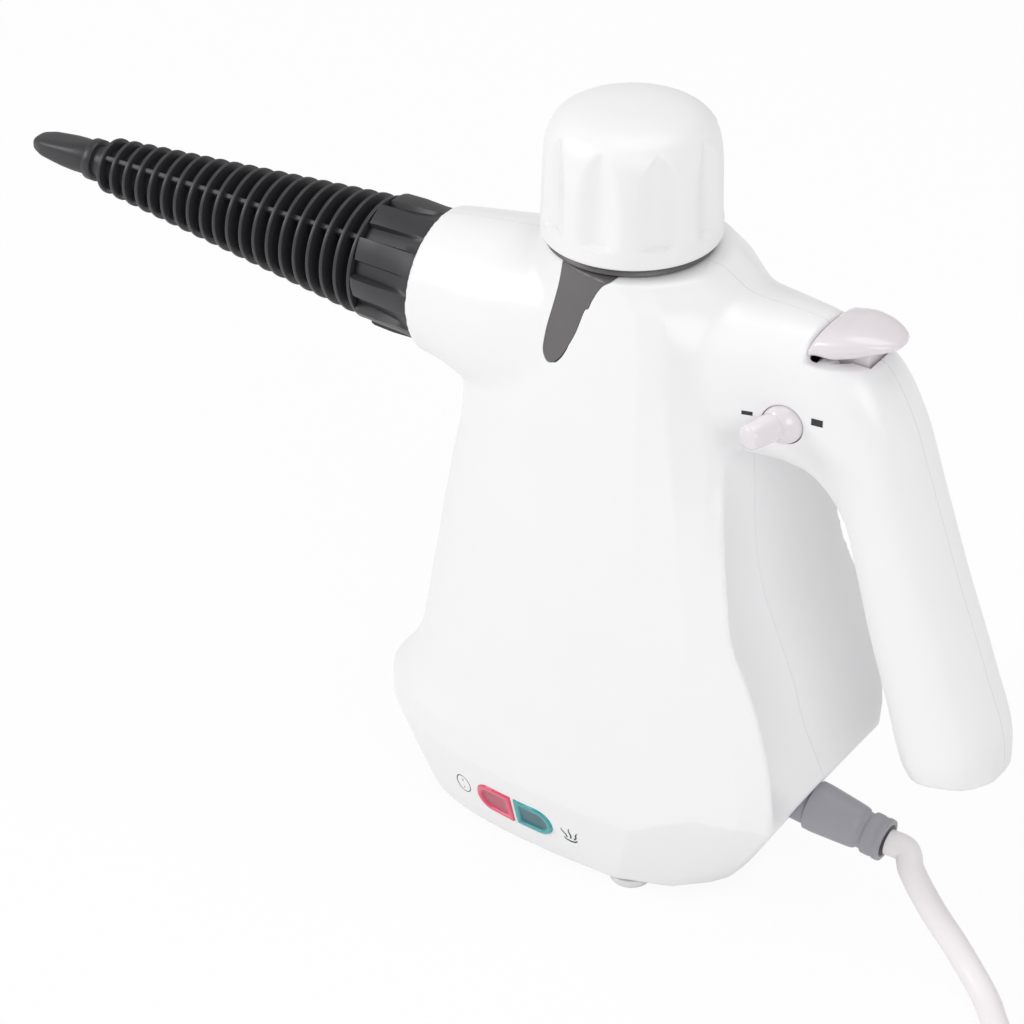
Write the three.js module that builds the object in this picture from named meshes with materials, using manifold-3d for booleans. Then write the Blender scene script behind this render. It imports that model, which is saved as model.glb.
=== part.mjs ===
// A handheld steam cleaner: a moulded two-part housing with a pistol handle, a boiler under a
// screw-down filler cap, a finned nozzle and a mains lead. Millimetres, +Z up, floor at Z = 0.
// The nozzle points to -X and the handle is at +X; zero is close to the filler cap's axis.
import * as THREE from "three";
import { mergeVertices } from "three/addons/utils/BufferGeometryUtils.js";
import Module from "manifold-3d";

const wasm = await Module();
wasm.setup();

// Fits that every piece shares
const fit = 0.3; // between two pieces that touch
const overrun = 4; // how far a cut runs past the face that it opens
const weld = 1e-4; // corners closer than this are one

// Housing, moulded in ABS and split on the middle plane
const housingWall = 2.4;
const footHeight = 3;
const shoulderHeight = 186.5; // flat top round the filler
const bellyFront = 74; // nose of the belly, ahead of the filler axis
const bellyHalf = 35.3;
const rearReach = 58; // rear lip behind the filler axis
const baseLift = footHeight; // underside of the housing

// Neck that carries the nozzle
const seamX = -59.5;
const seamZ = 157.7;
const seamRadius = 20.4;
const neckRun = 51; // from the seam back into the belly
const nozzleRise = THREE.MathUtils.degToRad(1.45);

// Pistol handle
const handleReach = 117;
const gripHalf = 14;

// Filler neck, collar and cap, and the boiler below them, on one upright axis
const fillerX = -1.8;
const capRimHeight = 189;
const capRadius = 24;
const capHeight = 36.6;
const capFluteCount = 8;
const capFluteDepth = 1.7;
const capWall = 2.5;
const capStemRise = 3; // stem of the plug above its flange
const collarRadius = 23.2;
const collarSeatRadius = 20.5; // hole in the shoulder
const collarThickness = 1.7;
const collarLip = 1.6;
const neckOuter = 16;
const neckBore = 13.4;
const neckTop = 184.5;

// Boiler
const boilerRadius = 25;
const boilerWall = 1.8;
const boilerBottom = 46;
const boilerTop = 132;
const boilerFlange = 26.4;
const flangeThickness = 2.2;
const gasketThickness = 1.4;
const lidShoulder = 146; // where the lid's dome meets its neck

// Nozzle, on its own axis measured from the housing seam
const spigotRadius = 8.6;
const spigotInside = 9; // how far the spigot reaches into the spout
const nozzleBore = 3;
const sealGrooveDepth = 1.6;
const collarLength = 17;
const flangeRadius = 17.4;
const ribCount = 19;
const ribPitch = 4.94;
const ribThickness = 1.3;
const firstRibRadius = 8.1; // the rib nearest the tip
const lastRibRadius = 16.9; // the rib nearest the collar
const coreShare = 0.62; // core radius as a share of the rib radius
const webShare = 0.9; // web height as a share of the rib radius
const webThickness = 1.5;
const tipNeckRadius = 5.7;
const tipLength = 28;
const socketRadius = 13;
const socketBore = spigotRadius + fit + fit;
const socketInside = 22; // how far the spout socket reaches into the neck
const socketOutside = 11;

// Trigger on top of the handle
const triggerPivotX = 60.3;
const triggerPivotZ = 170;
const triggerTipX = 77.7;
const triggerTop = 182.6;
const triggerHalf = 11.2;
const triggerWebHalf = 4.6;
const pinRadius = 1.5;

// Steam valve under the trigger
const valveX = 67.3;
const valveRadius = 6;
const valveBottom = 142;
const valveTop = 160;
const plungerRise = 5; // plunger above the valve's body
const plungerRadius = 1.8;
const plungerHead = 3.2;
const valveSpringRadius = 3.1;
const springWire = 0.9;
const pipeRadius = 2.3;
const pipeBore = 1.3;

// Lock lever in the left flank of the handle
const lockX = 53;
const lockY = -14.6;
const lockZ = 156.5;
const lockBall = 5.8;
const lockStalk = 3.9;
const lockLength = 13.5;
const lockLean = THREE.MathUtils.degToRad(16);

// Base, feet and screws
const basePlateThickness = 2.4;
const footRadius = 6;
const footStem = 2;
const screwHead = 2.9;
const screwHeadHeight = 2;
const screwShank = 1.4;
const screwLength = 16;
const screwHeadPlane = 8; // where the heads seat, right of the middle plane
const bossWall = 1.4;

// Lenses in the left bevel
const lensLength = 12.6;
const lensHeight = 9.6;
const lensThickness = 2;
const lensGap = 1.2;

// Mains lead
const cordDiameter = 7.3;
const glandRadius = 8.6;
const glandNeck = 6.6;
const glandTilt = THREE.MathUtils.degToRad(7.5);
const glandLength = 23;
const coilTurns = 8.5;
const coilLayers = 4;
const coilMiddle = 43.5; // radius at the middle of the turns
const coilPitch = 8.2; // between neighbouring turns and layers
const coilBulge = 2; // how far a turn swings out where the spiral reverses
const coilX = 196;
const coilY = 0;
const tieThickness = 1;
const tieWidth = 12;
const plugRadius = 18;
const plugBody = 30;
const plugRelief = 22; // tapered sleeve behind the plug
const plugReliefWall = 1; // its wall at the cord's end
const plugPinRadius = 2.4;
const plugPinLength = 19;
const plugPinSpacing = 19;
const plugAside = 22; // how far the plug lies from the coil's middle
const plugSetback = 16; // how far behind the middle it begins

// Finishes
const finish = (color, roughness, metalness = 0) =>
  new THREE.MeshStandardMaterial({ color, roughness, metalness });
const whiteAbs = () => finish("#f5f6f6", 0.3);
const charcoalNylon = () => finish("#3a3a3c", 0.5);
const collarGrey = () => finish("#4c4b4c", 0.4);
const clearSmoke = () => finish("#e4dee2", 0.25);
const greyPvc = () => finish("#8b8a90", 0.5);
const cordPvc = () => finish("#efeaee", 0.45);
const blackRubber = () => finish("#2b2b2d", 0.8);
const paleRubber = () => finish("#e4e4e4", 0.7);
const castAluminium = () => finish("#b9bbbd", 0.45, 0.9);
const brass = () => finish("#c8a75a", 0.35, 0.9);
const steel = () => finish("#c9cbcd", 0.3, 0.95);
const silicone = () => finish("#b8584e", 0.6);
const boardGreen = () => finish("#2f6b46", 0.6);

const part = new THREE.Group();
const filler = new THREE.Group();
filler.position.x = fillerX;
part.add(filler);

const v3 = (x, y, z) => new THREE.Vector3(x, y, z);
const mix = THREE.MathUtils.lerp;

// Leaves only the corners that a closed body needs, and turns its faces outward
function closedBody(geometry) {
  const bare = geometry.clone();
  bare.deleteAttribute("normal");
  bare.deleteAttribute("uv");
  const merged = mergeVertices(bare, weld);
  const place = merged.getAttribute("position");
  const corners = merged.getIndex().array;
  const kept = [];
  let volume = 0;
  const [a, b, c] = [new THREE.Vector3(), new THREE.Vector3(), new THREE.Vector3()];
  for (let i = 0; i < corners.length; i += 3) {
    const [p, q, r] = [corners[i], corners[i + 1], corners[i + 2]];
    if (p === q || q === r || r === p) continue;
    a.fromBufferAttribute(place, p);
    b.fromBufferAttribute(place, q);
    c.fromBufferAttribute(place, r);
    volume += a.dot(b.cross(c));
    kept.push(p, q, r);
  }
  if (volume < 0) kept.reverse();
  merged.setIndex(kept);
  return merged;
}

function solid(geometry) {
  const body = closedBody(geometry);
  const vertProperties = Float32Array.from(body.getAttribute("position").array);
  const triVerts = Uint32Array.from(body.getIndex().array);
  return new wasm.Manifold(new wasm.Mesh({ numProp: 3, vertProperties, triVerts }));
}

function shape(manifold) {
  const mesh = manifold.getMesh();
  const geometry = new THREE.BufferGeometry();
  geometry.setAttribute("position", new THREE.BufferAttribute(mesh.vertProperties, 3));
  geometry.setIndex(Array.from(mesh.triVerts));
  return geometry;
}

function add(name, form, material, group = part) {
  const geometry = form.isBufferGeometry ? closedBody(form) : shape(form);
  const mesh = new THREE.Mesh(geometry, material);
  mesh.name = name;
  group.add(mesh);
  return mesh;
}

// Skins a list of rings that have the same number of points, with a fan over each end
function loft(rings) {
  const count = rings[0].length;
  const points = rings.flat();
  const faces = [];
  for (let k = 0; k + 1 < rings.length; k += 1) {
    for (let i = 0; i < count; i += 1) {
      const j = (i + 1) % count;
      const [p, q] = [k * count + i, k * count + j];
      faces.push(p, q, p + count, q, q + count, p + count);
    }
  }
  for (const [ring, start, turn] of [[rings[0], 0, true], [rings.at(-1), points.length - count, false]]) {
    const middle = points.length;
    points.push(ring.reduce((sum, p) => sum.add(p), v3(0, 0, 0)).divideScalar(count));
    for (let i = 0; i < count; i += 1) {
      const [p, q] = [start + i, start + ((i + 1) % count)];
      faces.push(...(turn ? [q, p, middle] : [p, q, middle]));
    }
  }
  const geometry = new THREE.BufferGeometry().setFromPoints(points);
  geometry.setIndex(faces);
  return geometry;
}

// A turned piece about +Z from its half profile [radius, height]
function turned(profile, segments) {
  const points = profile.map(([r, h]) => new THREE.Vector2(r, h));
  return new THREE.LatheGeometry(points, segments).rotateX(Math.PI / 2);
}

function ringProfile(inner, outer, low, high) {
  return [[inner, low], [outer, low], [outer, high], [inner, high], [inner, low]];
}

function rod(radius, low, high, segments = 16) {
  return turned([[0, low], [radius, low], [radius, high], [0, high]], segments);
}

// A rod across the housing, from one side plane to another
function crossRod(radius, fromY, toY, x, z, segments = 16) {
  return rod(radius, fromY, toY, segments).rotateX(-Math.PI / 2).translate(x, 0, z);
}

function block(x0, x1, y0, y1, z0, z1) {
  const box = new THREE.BoxGeometry(x1 - x0, y1 - y0, z1 - z0);
  return box.translate((x0 + x1) / 2, (y0 + y1) / 2, (z0 + z1) / 2);
}

// A round tube with closed ends through a list of points, carried along without twist
function wireThrough(points, radius, sides) {
  const rings = [];
  const first = points[1].clone().sub(points[0]).normalize();
  let across = Math.abs(first.z) < Math.SQRT1_2 ? v3(0, 0, 1) : v3(1, 0, 0);
  points.forEach((p, i) => {
    const ahead = points[Math.min(i + 1, points.length - 1)];
    const along = ahead.clone().sub(points[Math.max(i - 1, 0)]).normalize();
    across = across.clone().addScaledVector(along, -across.dot(along)).normalize();
    const up = along.clone().cross(across);
    const ring = [];
    for (let k = 0; k < sides; k += 1) {
      const turn = (2 * Math.PI * k) / sides;
      ring.push(p.clone().addScaledVector(across, radius * Math.cos(turn))
        .addScaledVector(up, radius * Math.sin(turn)));
    }
    rings.push(ring);
  });
  return loft(rings);
}

// A compression spring about +Z, from one height to another
function spring(radius, wire, low, high, turns) {
  const steps = turns * 8;
  const points = [];
  for (let i = 0; i <= steps; i += 1) {
    const turn = (2 * Math.PI * i) / 8;
    const height = mix(low + wire / 2, high - wire / 2, i / steps);
    points.push(v3(radius * Math.cos(turn), radius * Math.sin(turn), height));
  }
  return wireThrough(points, wire / 2, 5);
}

// Housing belly. Each row: height at the nose and at the rear as shares of the shoulder height,
// nose, flank half width and its fullness, then the two flank creases, the rear lip and the
// middle of the rear, as shares of the rear reach and of the belly's half width.
const bellyRowShares = [
  { lift: 0.016, rearLift: 0.016, nose: 0.81, half: 0.8, full: 2.9,
    a: 0.245, b: [0.5, 0.65], lip: [0.64, 0.43], corner: [0.69, 0.3], rear: 0.71 },
  { lift: 0.147, rearLift: 0.214, nose: 1, half: 1, full: 2.5,
    a: 0.376, b: [0.71, 0.98], lip: [0.94, 0.955], corner: [1.09, 0.88], rear: 1.08 },
  { lift: 0.193, rearLift: 0.252, nose: 1, half: 1, full: 2.5,
    a: 0.372, b: [0.7, 0.983], lip: [0.935, 0.955], corner: [1.1, 0.89], rear: 1.02 },
  { lift: 0.236, rearLift: 0.3, nose: 0.915, half: 0.997, full: 2.5,
    a: 0.369, b: [0.69, 0.98], lip: [0.925, 0.95], corner: [1.085, 0.89], rear: 0.95 },
  { lift: 0.279, rearLift: 0.354, nose: 0.862, half: 0.995, full: 2.5,
    a: 0.366, b: [0.672, 0.977], lip: [0.9, 0.945], corner: [1.05, 0.89], rear: 0.9 },
  { lift: 0.386, rearLift: 0.44, nose: 0.812, half: 0.986, full: 2.4,
    a: 0.358, b: [0.637, 0.969], lip: [0.82, 0.935], corner: [0.965, 0.89], rear: 0.79 },
  { lift: 0.504, rearLift: 0.515, nose: 0.764, half: 0.969, full: 2.3,
    a: 0.349, b: [0.62, 0.952], lip: [0.724, 0.918], corner: [0.85, 0.87], rear: 0.7 },
  { lift: 0.595, rearLift: 0.6, nose: 0.722, half: 0.935, full: 2.3,
    a: 0.34, b: [0.57, 0.907], lip: [0.676, 0.864], corner: [0.79, 0.81], rear: 0.655 },
  { lift: 0.686, rearLift: 0.686, nose: 0.684, half: 0.89, full: 2.2,
    a: 0.327, b: [0.526, 0.856], lip: [0.655, 0.78], corner: [0.73, 0.71], rear: 0.64 },
  { lift: 0.751, rearLift: 0.751, nose: 0.676, half: 0.861, full: 2.2,
    a: 0.32, b: [0.492, 0.822], lip: [0.638, 0.68], corner: [0.68, 0.58], rear: 0.63 },
  { lift: 0.858, rearLift: 0.858, nose: 0.57, half: 0.816, full: 2.1,
    a: 0.31, b: [0.43, 0.76], lip: [0.585, 0.6], corner: [0.65, 0.44], rear: 0.68 },
  { lift: 0.912, rearLift: 0.912, nose: 0.486, half: 0.776, full: 2.1,
    a: 0.295, b: [0.41, 0.72], lip: [0.585, 0.53], corner: [0.665, 0.36], rear: 0.69 },
  { lift: 0.96, rearLift: 0.96, nose: 0.405, half: 0.725, full: 2,
    a: 0.26, b: [0.38, 0.65], lip: [0.515, 0.44], corner: [0.595, 0.28], rear: 0.62 },
  { lift: 1, rearLift: 1, nose: 0.335, half: 0.68, full: 2,
    a: 0.15, b: [0.27, 0.57], lip: [0.36, 0.42], corner: [0.42, 0.26], rear: 0.44 },
];
const noseSteps = 7;
const rearPlaceShares = [1, 0.5, 0]; // from the corner to the middle of the rear
const creaseLiftShare = 0.85; // how much of the rear's rise the second crease has

function bellyRing(row, inset) {
  const nose = row.nose * bellyFront - inset;
  const half = row.half * bellyHalf - inset;
  const creaseX = row.a * rearReach;
  const secondX = row.b[0] * rearReach;
  const secondY = row.b[1] * bellyHalf - inset;
  const lipX = row.lip[0] * rearReach - inset;
  const lipY = row.lip[1] * bellyHalf - inset;
  const cornerX = row.corner[0] * rearReach - inset;
  const cornerY = row.corner[1] * bellyHalf - inset;
  const rearX = row.rear * rearReach - inset;
  const low = row.lift * shoulderHeight;
  const high = row.rearLift * shoulderHeight;
  const side = [];
  for (let i = 0; i <= noseSteps; i += 1) {
    const turn = (Math.PI / 2) * (i / noseSteps);
    const x = creaseX - (creaseX + nose) * Math.cos(turn) ** (2 / row.full);
    side.push(v3(i === noseSteps ? creaseX : x, half * Math.sin(turn) ** (2 / row.full), low));
  }
  side.push(v3(secondX, secondY, mix(low, high, creaseLiftShare)));
  side.push(v3(lipX, lipY, high));
  for (const share of rearPlaceShares) {
    side.push(v3(mix(rearX, cornerX, share ** 2), cornerY * share, high));
  }
  const otherSide = side.slice(1, -1).reverse().map((p) => v3(p.x, -p.y, p.z));
  return [...side, ...otherSide];
}

function belly(inset, lowest, highest) {
  const rings = bellyRowShares.map((row) => bellyRing(row, inset));
  rings[0].forEach((p) => { p.z = lowest; });
  rings.at(-1).forEach((p) => { p.z = highest; });
  return solid(loft(rings));
}

// Neck, from the round seam back into the belly: place along the run, half width, height above
// and below the seam's centre as shares of the seam's radius, and how square the section is
const neckRowShares = [
  { along: 0, half: 1, above: 1, below: 1, full: 2 },
  { along: 0.14, half: 1.05, above: 1.05, below: 1.05, full: 2.05 },
  { along: 0.33, half: 1.14, above: 1.11, below: 1.22, full: 2.1 },
  { along: 0.6, half: 1.22, above: 1.2, below: 1.36, full: 2.2 },
  { along: 1, half: 1.24, above: 1.34, below: 1.5, full: 2.3 },
];
const neckSides = 24;

function superEllipse(turn, full) {
  const [c, s] = [Math.cos(turn), Math.sin(turn)];
  return [Math.sign(c) * Math.abs(c) ** (2 / full), Math.sign(s) * Math.abs(s) ** (2 / full)];
}

function neck(inset, frontInset) {
  const rings = neckRowShares.map((row) => {
    const x = seamX + frontInset + (neckRun - frontInset) * row.along;
    const ring = [];
    for (let i = 0; i < neckSides; i += 1) {
      const [c, s] = superEllipse((2 * Math.PI * i) / neckSides, row.full);
      const reach = (s > 0 ? row.above : row.below) * seamRadius - inset;
      ring.push(v3(x, c * (row.half * seamRadius - inset), seamZ + s * reach));
    }
    return ring;
  });
  return solid(loft(rings));
}

// Handle: points on its inner and outer edges as shares of its reach and of the shoulder
// height, and its half width as a share of the grip's
const handleStationShares = [
  { inner: [0.07, 0.74], outer: [0.11, 0.972], half: 1.6 },
  { inner: [0.21, 0.744], outer: [0.23, 0.972], half: 1.6 },
  { inner: [0.32, 0.748], outer: [0.33, 0.97], half: 1.45 },
  { inner: [0.41, 0.748], outer: [0.425, 0.968], half: 1.25 },
  { inner: [0.483, 0.74], outer: [0.53, 0.958], half: 1.13 },
  { inner: [0.54, 0.713], outer: [0.625, 0.925], half: 1.07 },
  { inner: [0.584, 0.67], outer: [0.697, 0.857], half: 1.03 },
  { inner: [0.612, 0.606], outer: [0.761, 0.75], half: 1.01 },
  { inner: [0.648, 0.52], outer: [0.832, 0.628], half: 1 },
  { inner: [0.7, 0.418], outer: [0.916, 0.492], half: 1 },
  { inner: [0.742, 0.33], outer: [0.977, 0.376], half: 0.98 },
  { inner: [0.764, 0.303], outer: [0.981, 0.334], half: 0.88 },
];
const handleSides = 18;
const handleFull = 2.5;

function handleStation(station, inset) {
  const inner = v3(station.inner[0] * handleReach, 0, station.inner[1] * shoulderHeight);
  const outer = v3(station.outer[0] * handleReach, 0, station.outer[1] * shoulderHeight);
  const middle = inner.clone().add(outer).divideScalar(2);
  const depth = outer.clone().sub(inner).divideScalar(2);
  depth.setLength(depth.length() - inset);
  return { middle, depth, half: station.half * gripHalf - inset };
}

function handle(inset, endInset) {
  const rings = handleStationShares.map((row) => {
    const { middle, depth, half } = handleStation(row, inset);
    const ring = [];
    for (let i = 0; i < handleSides; i += 1) {
      const [c, s] = superEllipse((2 * Math.PI * i) / handleSides, handleFull);
      ring.push(middle.clone().addScaledVector(depth, c).add(v3(0, s * half, 0)));
    }
    return ring;
  });
  if (endInset > 0) {
    const last = rings.at(-1);
    const middle = handleStation(handleStationShares.at(-1), inset).middle;
    const before = handleStation(handleStationShares.at(-2), inset).middle;
    const back = before.sub(middle).normalize().multiplyScalar(endInset);
    last.forEach((p) => p.add(back));
  }
  return solid(loft(rings));
}

const outside = belly(0, baseLift, shoulderHeight).add(neck(0, 0)).add(handle(0, 0));
const cavityTop = shoulderHeight - housingWall;
const cavity = belly(housingWall, baseLift - overrun, cavityTop)
  .add(neck(housingWall, housingWall)).add(handle(housingWall, housingWall));

// Screws hold the right half to the left one: places along the housing and up it
const screwPlaces = [
  [-bellyFront * 0.7, shoulderHeight * 0.25],
  [-bellyFront * 0.54, shoulderHeight * 0.73],
  [rearReach * 0.66, shoulderHeight * 0.36],
  [handleReach * 0.705, shoulderHeight * 0.72],
  [handleReach * 0.835, shoulderHeight * 0.43],
];
const wellRadius = screwHead + fit;
const pilotRadius = screwShank + fit;
const screwEnd = screwHeadPlane - screwLength;

let bosses = null;
let wells = null;
const join = (whole, piece) => (whole ? whole.add(piece) : piece);
for (const [x, z] of screwPlaces) {
  bosses = join(bosses, solid(crossRod(pilotRadius + bossWall, -bellyHalf, 0, x, z, 12)));
  bosses = join(bosses, solid(crossRod(wellRadius + bossWall, 0, bellyHalf, x, z, 16)));
  wells = join(wells, solid(crossRod(pilotRadius, screwEnd - fit, screwHeadPlane, x, z, 12)));
  wells = join(wells, solid(crossRod(wellRadius, screwHeadPlane, bellyHalf + overrun, x, z, 16)));
}

// Cheeks that carry the trigger's pin and pads that hold the steam valve
const cheekInner = triggerWebHalf + fit + fit;
const cheekRadius = pinRadius + fit + bossWall;
for (const side of [-1, 1]) {
  const cheek = crossRod(cheekRadius, cheekInner * side, gripHalf * side, triggerPivotX, triggerPivotZ, 16);
  const pad = crossRod(plungerHead, (valveRadius + fit) * side, gripHalf * side, valveX,
    (valveBottom + valveTop) / 2, 12);
  bosses = bosses.add(solid(cheek)).add(solid(pad));
}
const pinHalf = cheekInner + gripHalf / 4;
wells = wells.add(solid(crossRod(pinRadius + fit, -pinHalf - fit, pinHalf + fit, triggerPivotX,
  triggerPivotZ, 12)));

// Openings in the housing
const slotFront = triggerPivotX - cheekRadius - fit;
const slotRear = triggerPivotX + (triggerTipX - triggerPivotX) * 0.64;
const triggerSlot = solid(block(slotFront, slotRear, -cheekInner, cheekInner,
  triggerPivotZ - cheekRadius, shoulderHeight + overrun));
const ledgeZ = triggerPivotZ + cheekRadius - fit; // flat under the trigger
const ledgeFront = slotFront - fit;
const triggerLedge = solid(block(ledgeFront, handleReach, -bellyHalf, bellyHalf, ledgeZ,
  shoulderHeight + overrun));
const fillerHole = solid(rod(collarSeatRadius + fit, cavityTop - overrun, shoulderHeight + overrun, 36)
  .translate(fillerX, 0, 0));
const lockSeat = solid(new THREE.SphereGeometry(lockBall + fit, 16, 12).translate(lockX, lockY, lockZ));

const nozzleFrame = new THREE.Matrix4().makeRotationY(-Math.PI / 2 + nozzleRise);
nozzleFrame.setPosition(seamX, 0, seamZ);
const spoutHole = solid(rod(socketRadius + fit, -housingWall - overrun, overrun, 32)
  .applyMatrix4(nozzleFrame));

// Gland hole in the rear bevel
const glandX = rearReach * 1.03;
const glandZ = shoulderHeight * 0.16;
const glandFrame = new THREE.Matrix4().makeRotationY(Math.PI / 2 + glandTilt);
glandFrame.setPosition(glandX, 0, glandZ);
const glandInside = 9;
const glandHole = solid(rod(glandNeck + fit, -glandInside - overrun, overrun, 20).applyMatrix4(glandFrame));

// Lens windows, cut square to the left bevel
const bevelLow = bellyRing(bellyRowShares[0], 0);
const bevelHigh = bellyRing(bellyRowShares[1], 0);
const bevelAt = (ring, x) => {
  const left = ring.filter((p) => p.y >= 0).sort((p, q) => p.x - q.x);
  const next = left.findIndex((p) => p.x >= x);
  const [p, q] = [left[next - 1], left[next]];
  const point = p.clone().lerp(q, (x - p.x) / (q.x - p.x));
  return v3(point.x, -point.y, point.z);
};
const lensHeightShare = 0.5; // up the bevel
const lensMiddleX = -bellyFront * 0.245;

function lensFrame(x) {
  const low = bevelAt(bevelLow, x);
  const high = bevelAt(bevelHigh, x);
  const place = low.clone().lerp(high, lensHeightShare);
  const run = bevelAt(bevelHigh, x + lensLength / 2).sub(bevelAt(bevelHigh, x - lensLength / 2));
  const along = run.normalize();
  const out = along.clone().cross(high.sub(low)).normalize();
  const up = out.clone().cross(along);
  const frame = new THREE.Matrix4().makeBasis(along, up, out);
  frame.setPosition(place);
  return frame;
}

// A lens outline: square on one end and round on the other
function lensOutline(grow, direction) {
  const [length, height] = [lensLength / 2 + grow, lensHeight / 2 + grow];
  const corner = length - height;
  const outline = new THREE.Shape();
  outline.moveTo(-length * direction, -height);
  outline.lineTo(corner * direction, -height);
  for (let i = 1; i < 8; i += 1) {
    const turn = -Math.PI / 2 + (Math.PI * i) / 8;
    outline.lineTo((corner + height * Math.cos(turn)) * direction, height * Math.sin(turn));
  }
  outline.lineTo(corner * direction, height);
  outline.lineTo(-length * direction, height);
  return outline;
}

function lensBody(x, direction, grow, depth, proud) {
  const form = new THREE.ExtrudeGeometry(lensOutline(grow, direction),
    { depth: depth + proud, bevelEnabled: false });
  return form.translate(0, 0, -depth).applyMatrix4(lensFrame(x));
}
const lensOffset = (lensLength + lensGap) / 2;
const powerLensX = lensMiddleX - lensOffset;
const readyLensX = lensMiddleX + lensOffset;
const lensDepth = lensThickness + housingWall;
const lensWindows = solid(lensBody(powerLensX, -1, fit, lensDepth + overrun, overrun))
  .add(solid(lensBody(readyLensX, 1, fit, lensDepth + overrun, overrun)));

// Filler collar tongue: its outline on the left flank, as shares of the collar's radius across
// and of its own length down from the rim
const tongueLength = 31;
const tongueShares = [
  [0.72, 0], [0.27, 0.13], [0.1, 0.36], [-0.02, 0.6], [-0.2, 0.9], [-0.32, 1], [-0.44, 0.98],
  [-0.51, 0.86], [-0.52, 0.66], [-0.48, 0.3], [-0.46, 0],
];
function tonguePrism(grow) {
  const outline = new THREE.Shape();
  const middle = -0.33;
  tongueShares.forEach(([across, down], i) => {
    const x = fillerX + across * collarRadius + (across > middle ? grow : -grow);
    const z = shoulderHeight + overrun - down * (tongueLength + overrun) - (down > 0.8 ? grow * 2 : 0);
    if (i === 0) outline.moveTo(x, z);
    else outline.lineTo(x, z);
  });
  const form = new THREE.ExtrudeGeometry(outline, { depth: bellyHalf, bevelEnabled: false });
  return solid(form.rotateX(Math.PI / 2).translate(0, -neckOuter * 0.6, 0));
}

const shells = outside.subtract(cavity).add(bosses.intersect(outside)).subtract(wells)
  .subtract(triggerSlot).subtract(triggerLedge).subtract(fillerHole).subtract(lockSeat).subtract(spoutHole)
  .subtract(glandHole).subtract(lensWindows).subtract(tonguePrism(fit));
const farther = handleReach * 3;
const leftHalf = solid(block(-farther, farther, -farther, -fit / 2, -farther, farther));
const rightHalf = solid(block(-farther, farther, fit / 2, farther, -farther, farther));
add("left_shell", shells.intersect(leftHalf), whiteAbs());
add("right_shell", shells.intersect(rightHalf), whiteAbs());

// Base plate and feet
const plateLow = baseLift + fit;
const plateHigh = plateLow + basePlateThickness;
function basePlate() {
  const ring = bellyRing(bellyRowShares[0], housingWall + fit);
  const level = (z) => ring.map((p) => v3(p.x, p.y, z));
  return solid(loft([level(plateLow), level(plateHigh)]));
}
const footPlaces = [];
for (const side of [-1, 1]) {
  footPlaces.push([rearReach * 0.26, bellyHalf * 0.61 * side]);
  footPlaces.push([-bellyFront * 0.57, bellyHalf * 0.37 * side]);
}
let stemHoles = null;
for (const [x, y] of footPlaces) {
  const hole = rod(footStem + fit, baseLift - overrun, plateHigh + overrun, 12).translate(x, y, 0);
  stemHoles = join(stemHoles, solid(hole));
}
add("base_plate", basePlate().subtract(stemHoles), whiteAbs());
footPlaces.forEach(([x, y], i) => {
  const top = footHeight - fit;
  const profile = [[0, 0], [footRadius * 0.85, 0], [footRadius, top * 0.4], [footRadius, top],
    [footStem, top], [footStem, plateHigh], [0, plateHigh]];
  add(`foot_${i + 1}`, turned(profile, 14).translate(x, y, 0), paleRubber());
});

screwPlaces.forEach(([x, z], i) => {
  const profile = [[0, screwEnd], [screwShank, screwEnd + screwShank], [screwShank, screwHeadPlane + fit],
    [screwHead, screwHeadPlane + fit], [screwHead, screwHeadPlane + fit + screwHeadHeight / 2],
    [screwHead * 0.7, screwHeadPlane + fit + screwHeadHeight],
    [0, screwHeadPlane + fit + screwHeadHeight]];
  add(`screw_${i + 1}`, turned(profile, 12).rotateX(-Math.PI / 2).translate(x, 0, z), steel());
});

// Filler collar with its tongue, which takes the place of the housing's skin
const collarLow = cavityTop - collarThickness;
const collarRing = turned([[neckOuter + fit, collarLow], [collarSeatRadius, collarLow],
  [collarSeatRadius, shoulderHeight + fit], [collarRadius, shoulderHeight + fit],
  [collarRadius - collarLip / 2, shoulderHeight + fit + collarLip],
  [neckOuter + fit, shoulderHeight + fit + collarLip], [neckOuter + fit, collarLow]], 36)
  .translate(fillerX, 0, 0);
const tongueBack = belly(collarThickness, baseLift - overrun, shoulderHeight - collarThickness);
const tongueTop = solid(rod(collarRadius * 2, 0, shoulderHeight + fit, 12));
const tongueInside = rod(collarSeatRadius - collarLip, 0, shoulderHeight + overrun, 36)
  .translate(fillerX, 0, 0);
const tongue = tonguePrism(0).intersect(outside).subtract(tongueBack).intersect(tongueTop)
  .subtract(solid(tongueInside));
add("filler_collar", solid(collarRing).add(tongue), collarGrey());

// Boiler pot, open at the top, with its flange
const potProfile = [[0, boilerBottom], [boilerRadius, boilerBottom],
  [boilerRadius, boilerTop - flangeThickness], [boilerFlange, boilerTop - flangeThickness],
  [boilerFlange, boilerTop], [boilerRadius - boilerWall, boilerTop],
  [boilerRadius - boilerWall, boilerBottom + boilerWall], [0, boilerBottom + boilerWall]];
add("boiler_pot", turned(potProfile, 32), castAluminium(), filler);

const gasketLow = boilerTop + fit;
const gasketHigh = gasketLow + gasketThickness;
add("boiler_gasket", turned(ringProfile(boilerRadius - boilerWall * 2, boilerFlange - fit, gasketLow,
  gasketHigh), 28), silicone(), filler);

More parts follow.
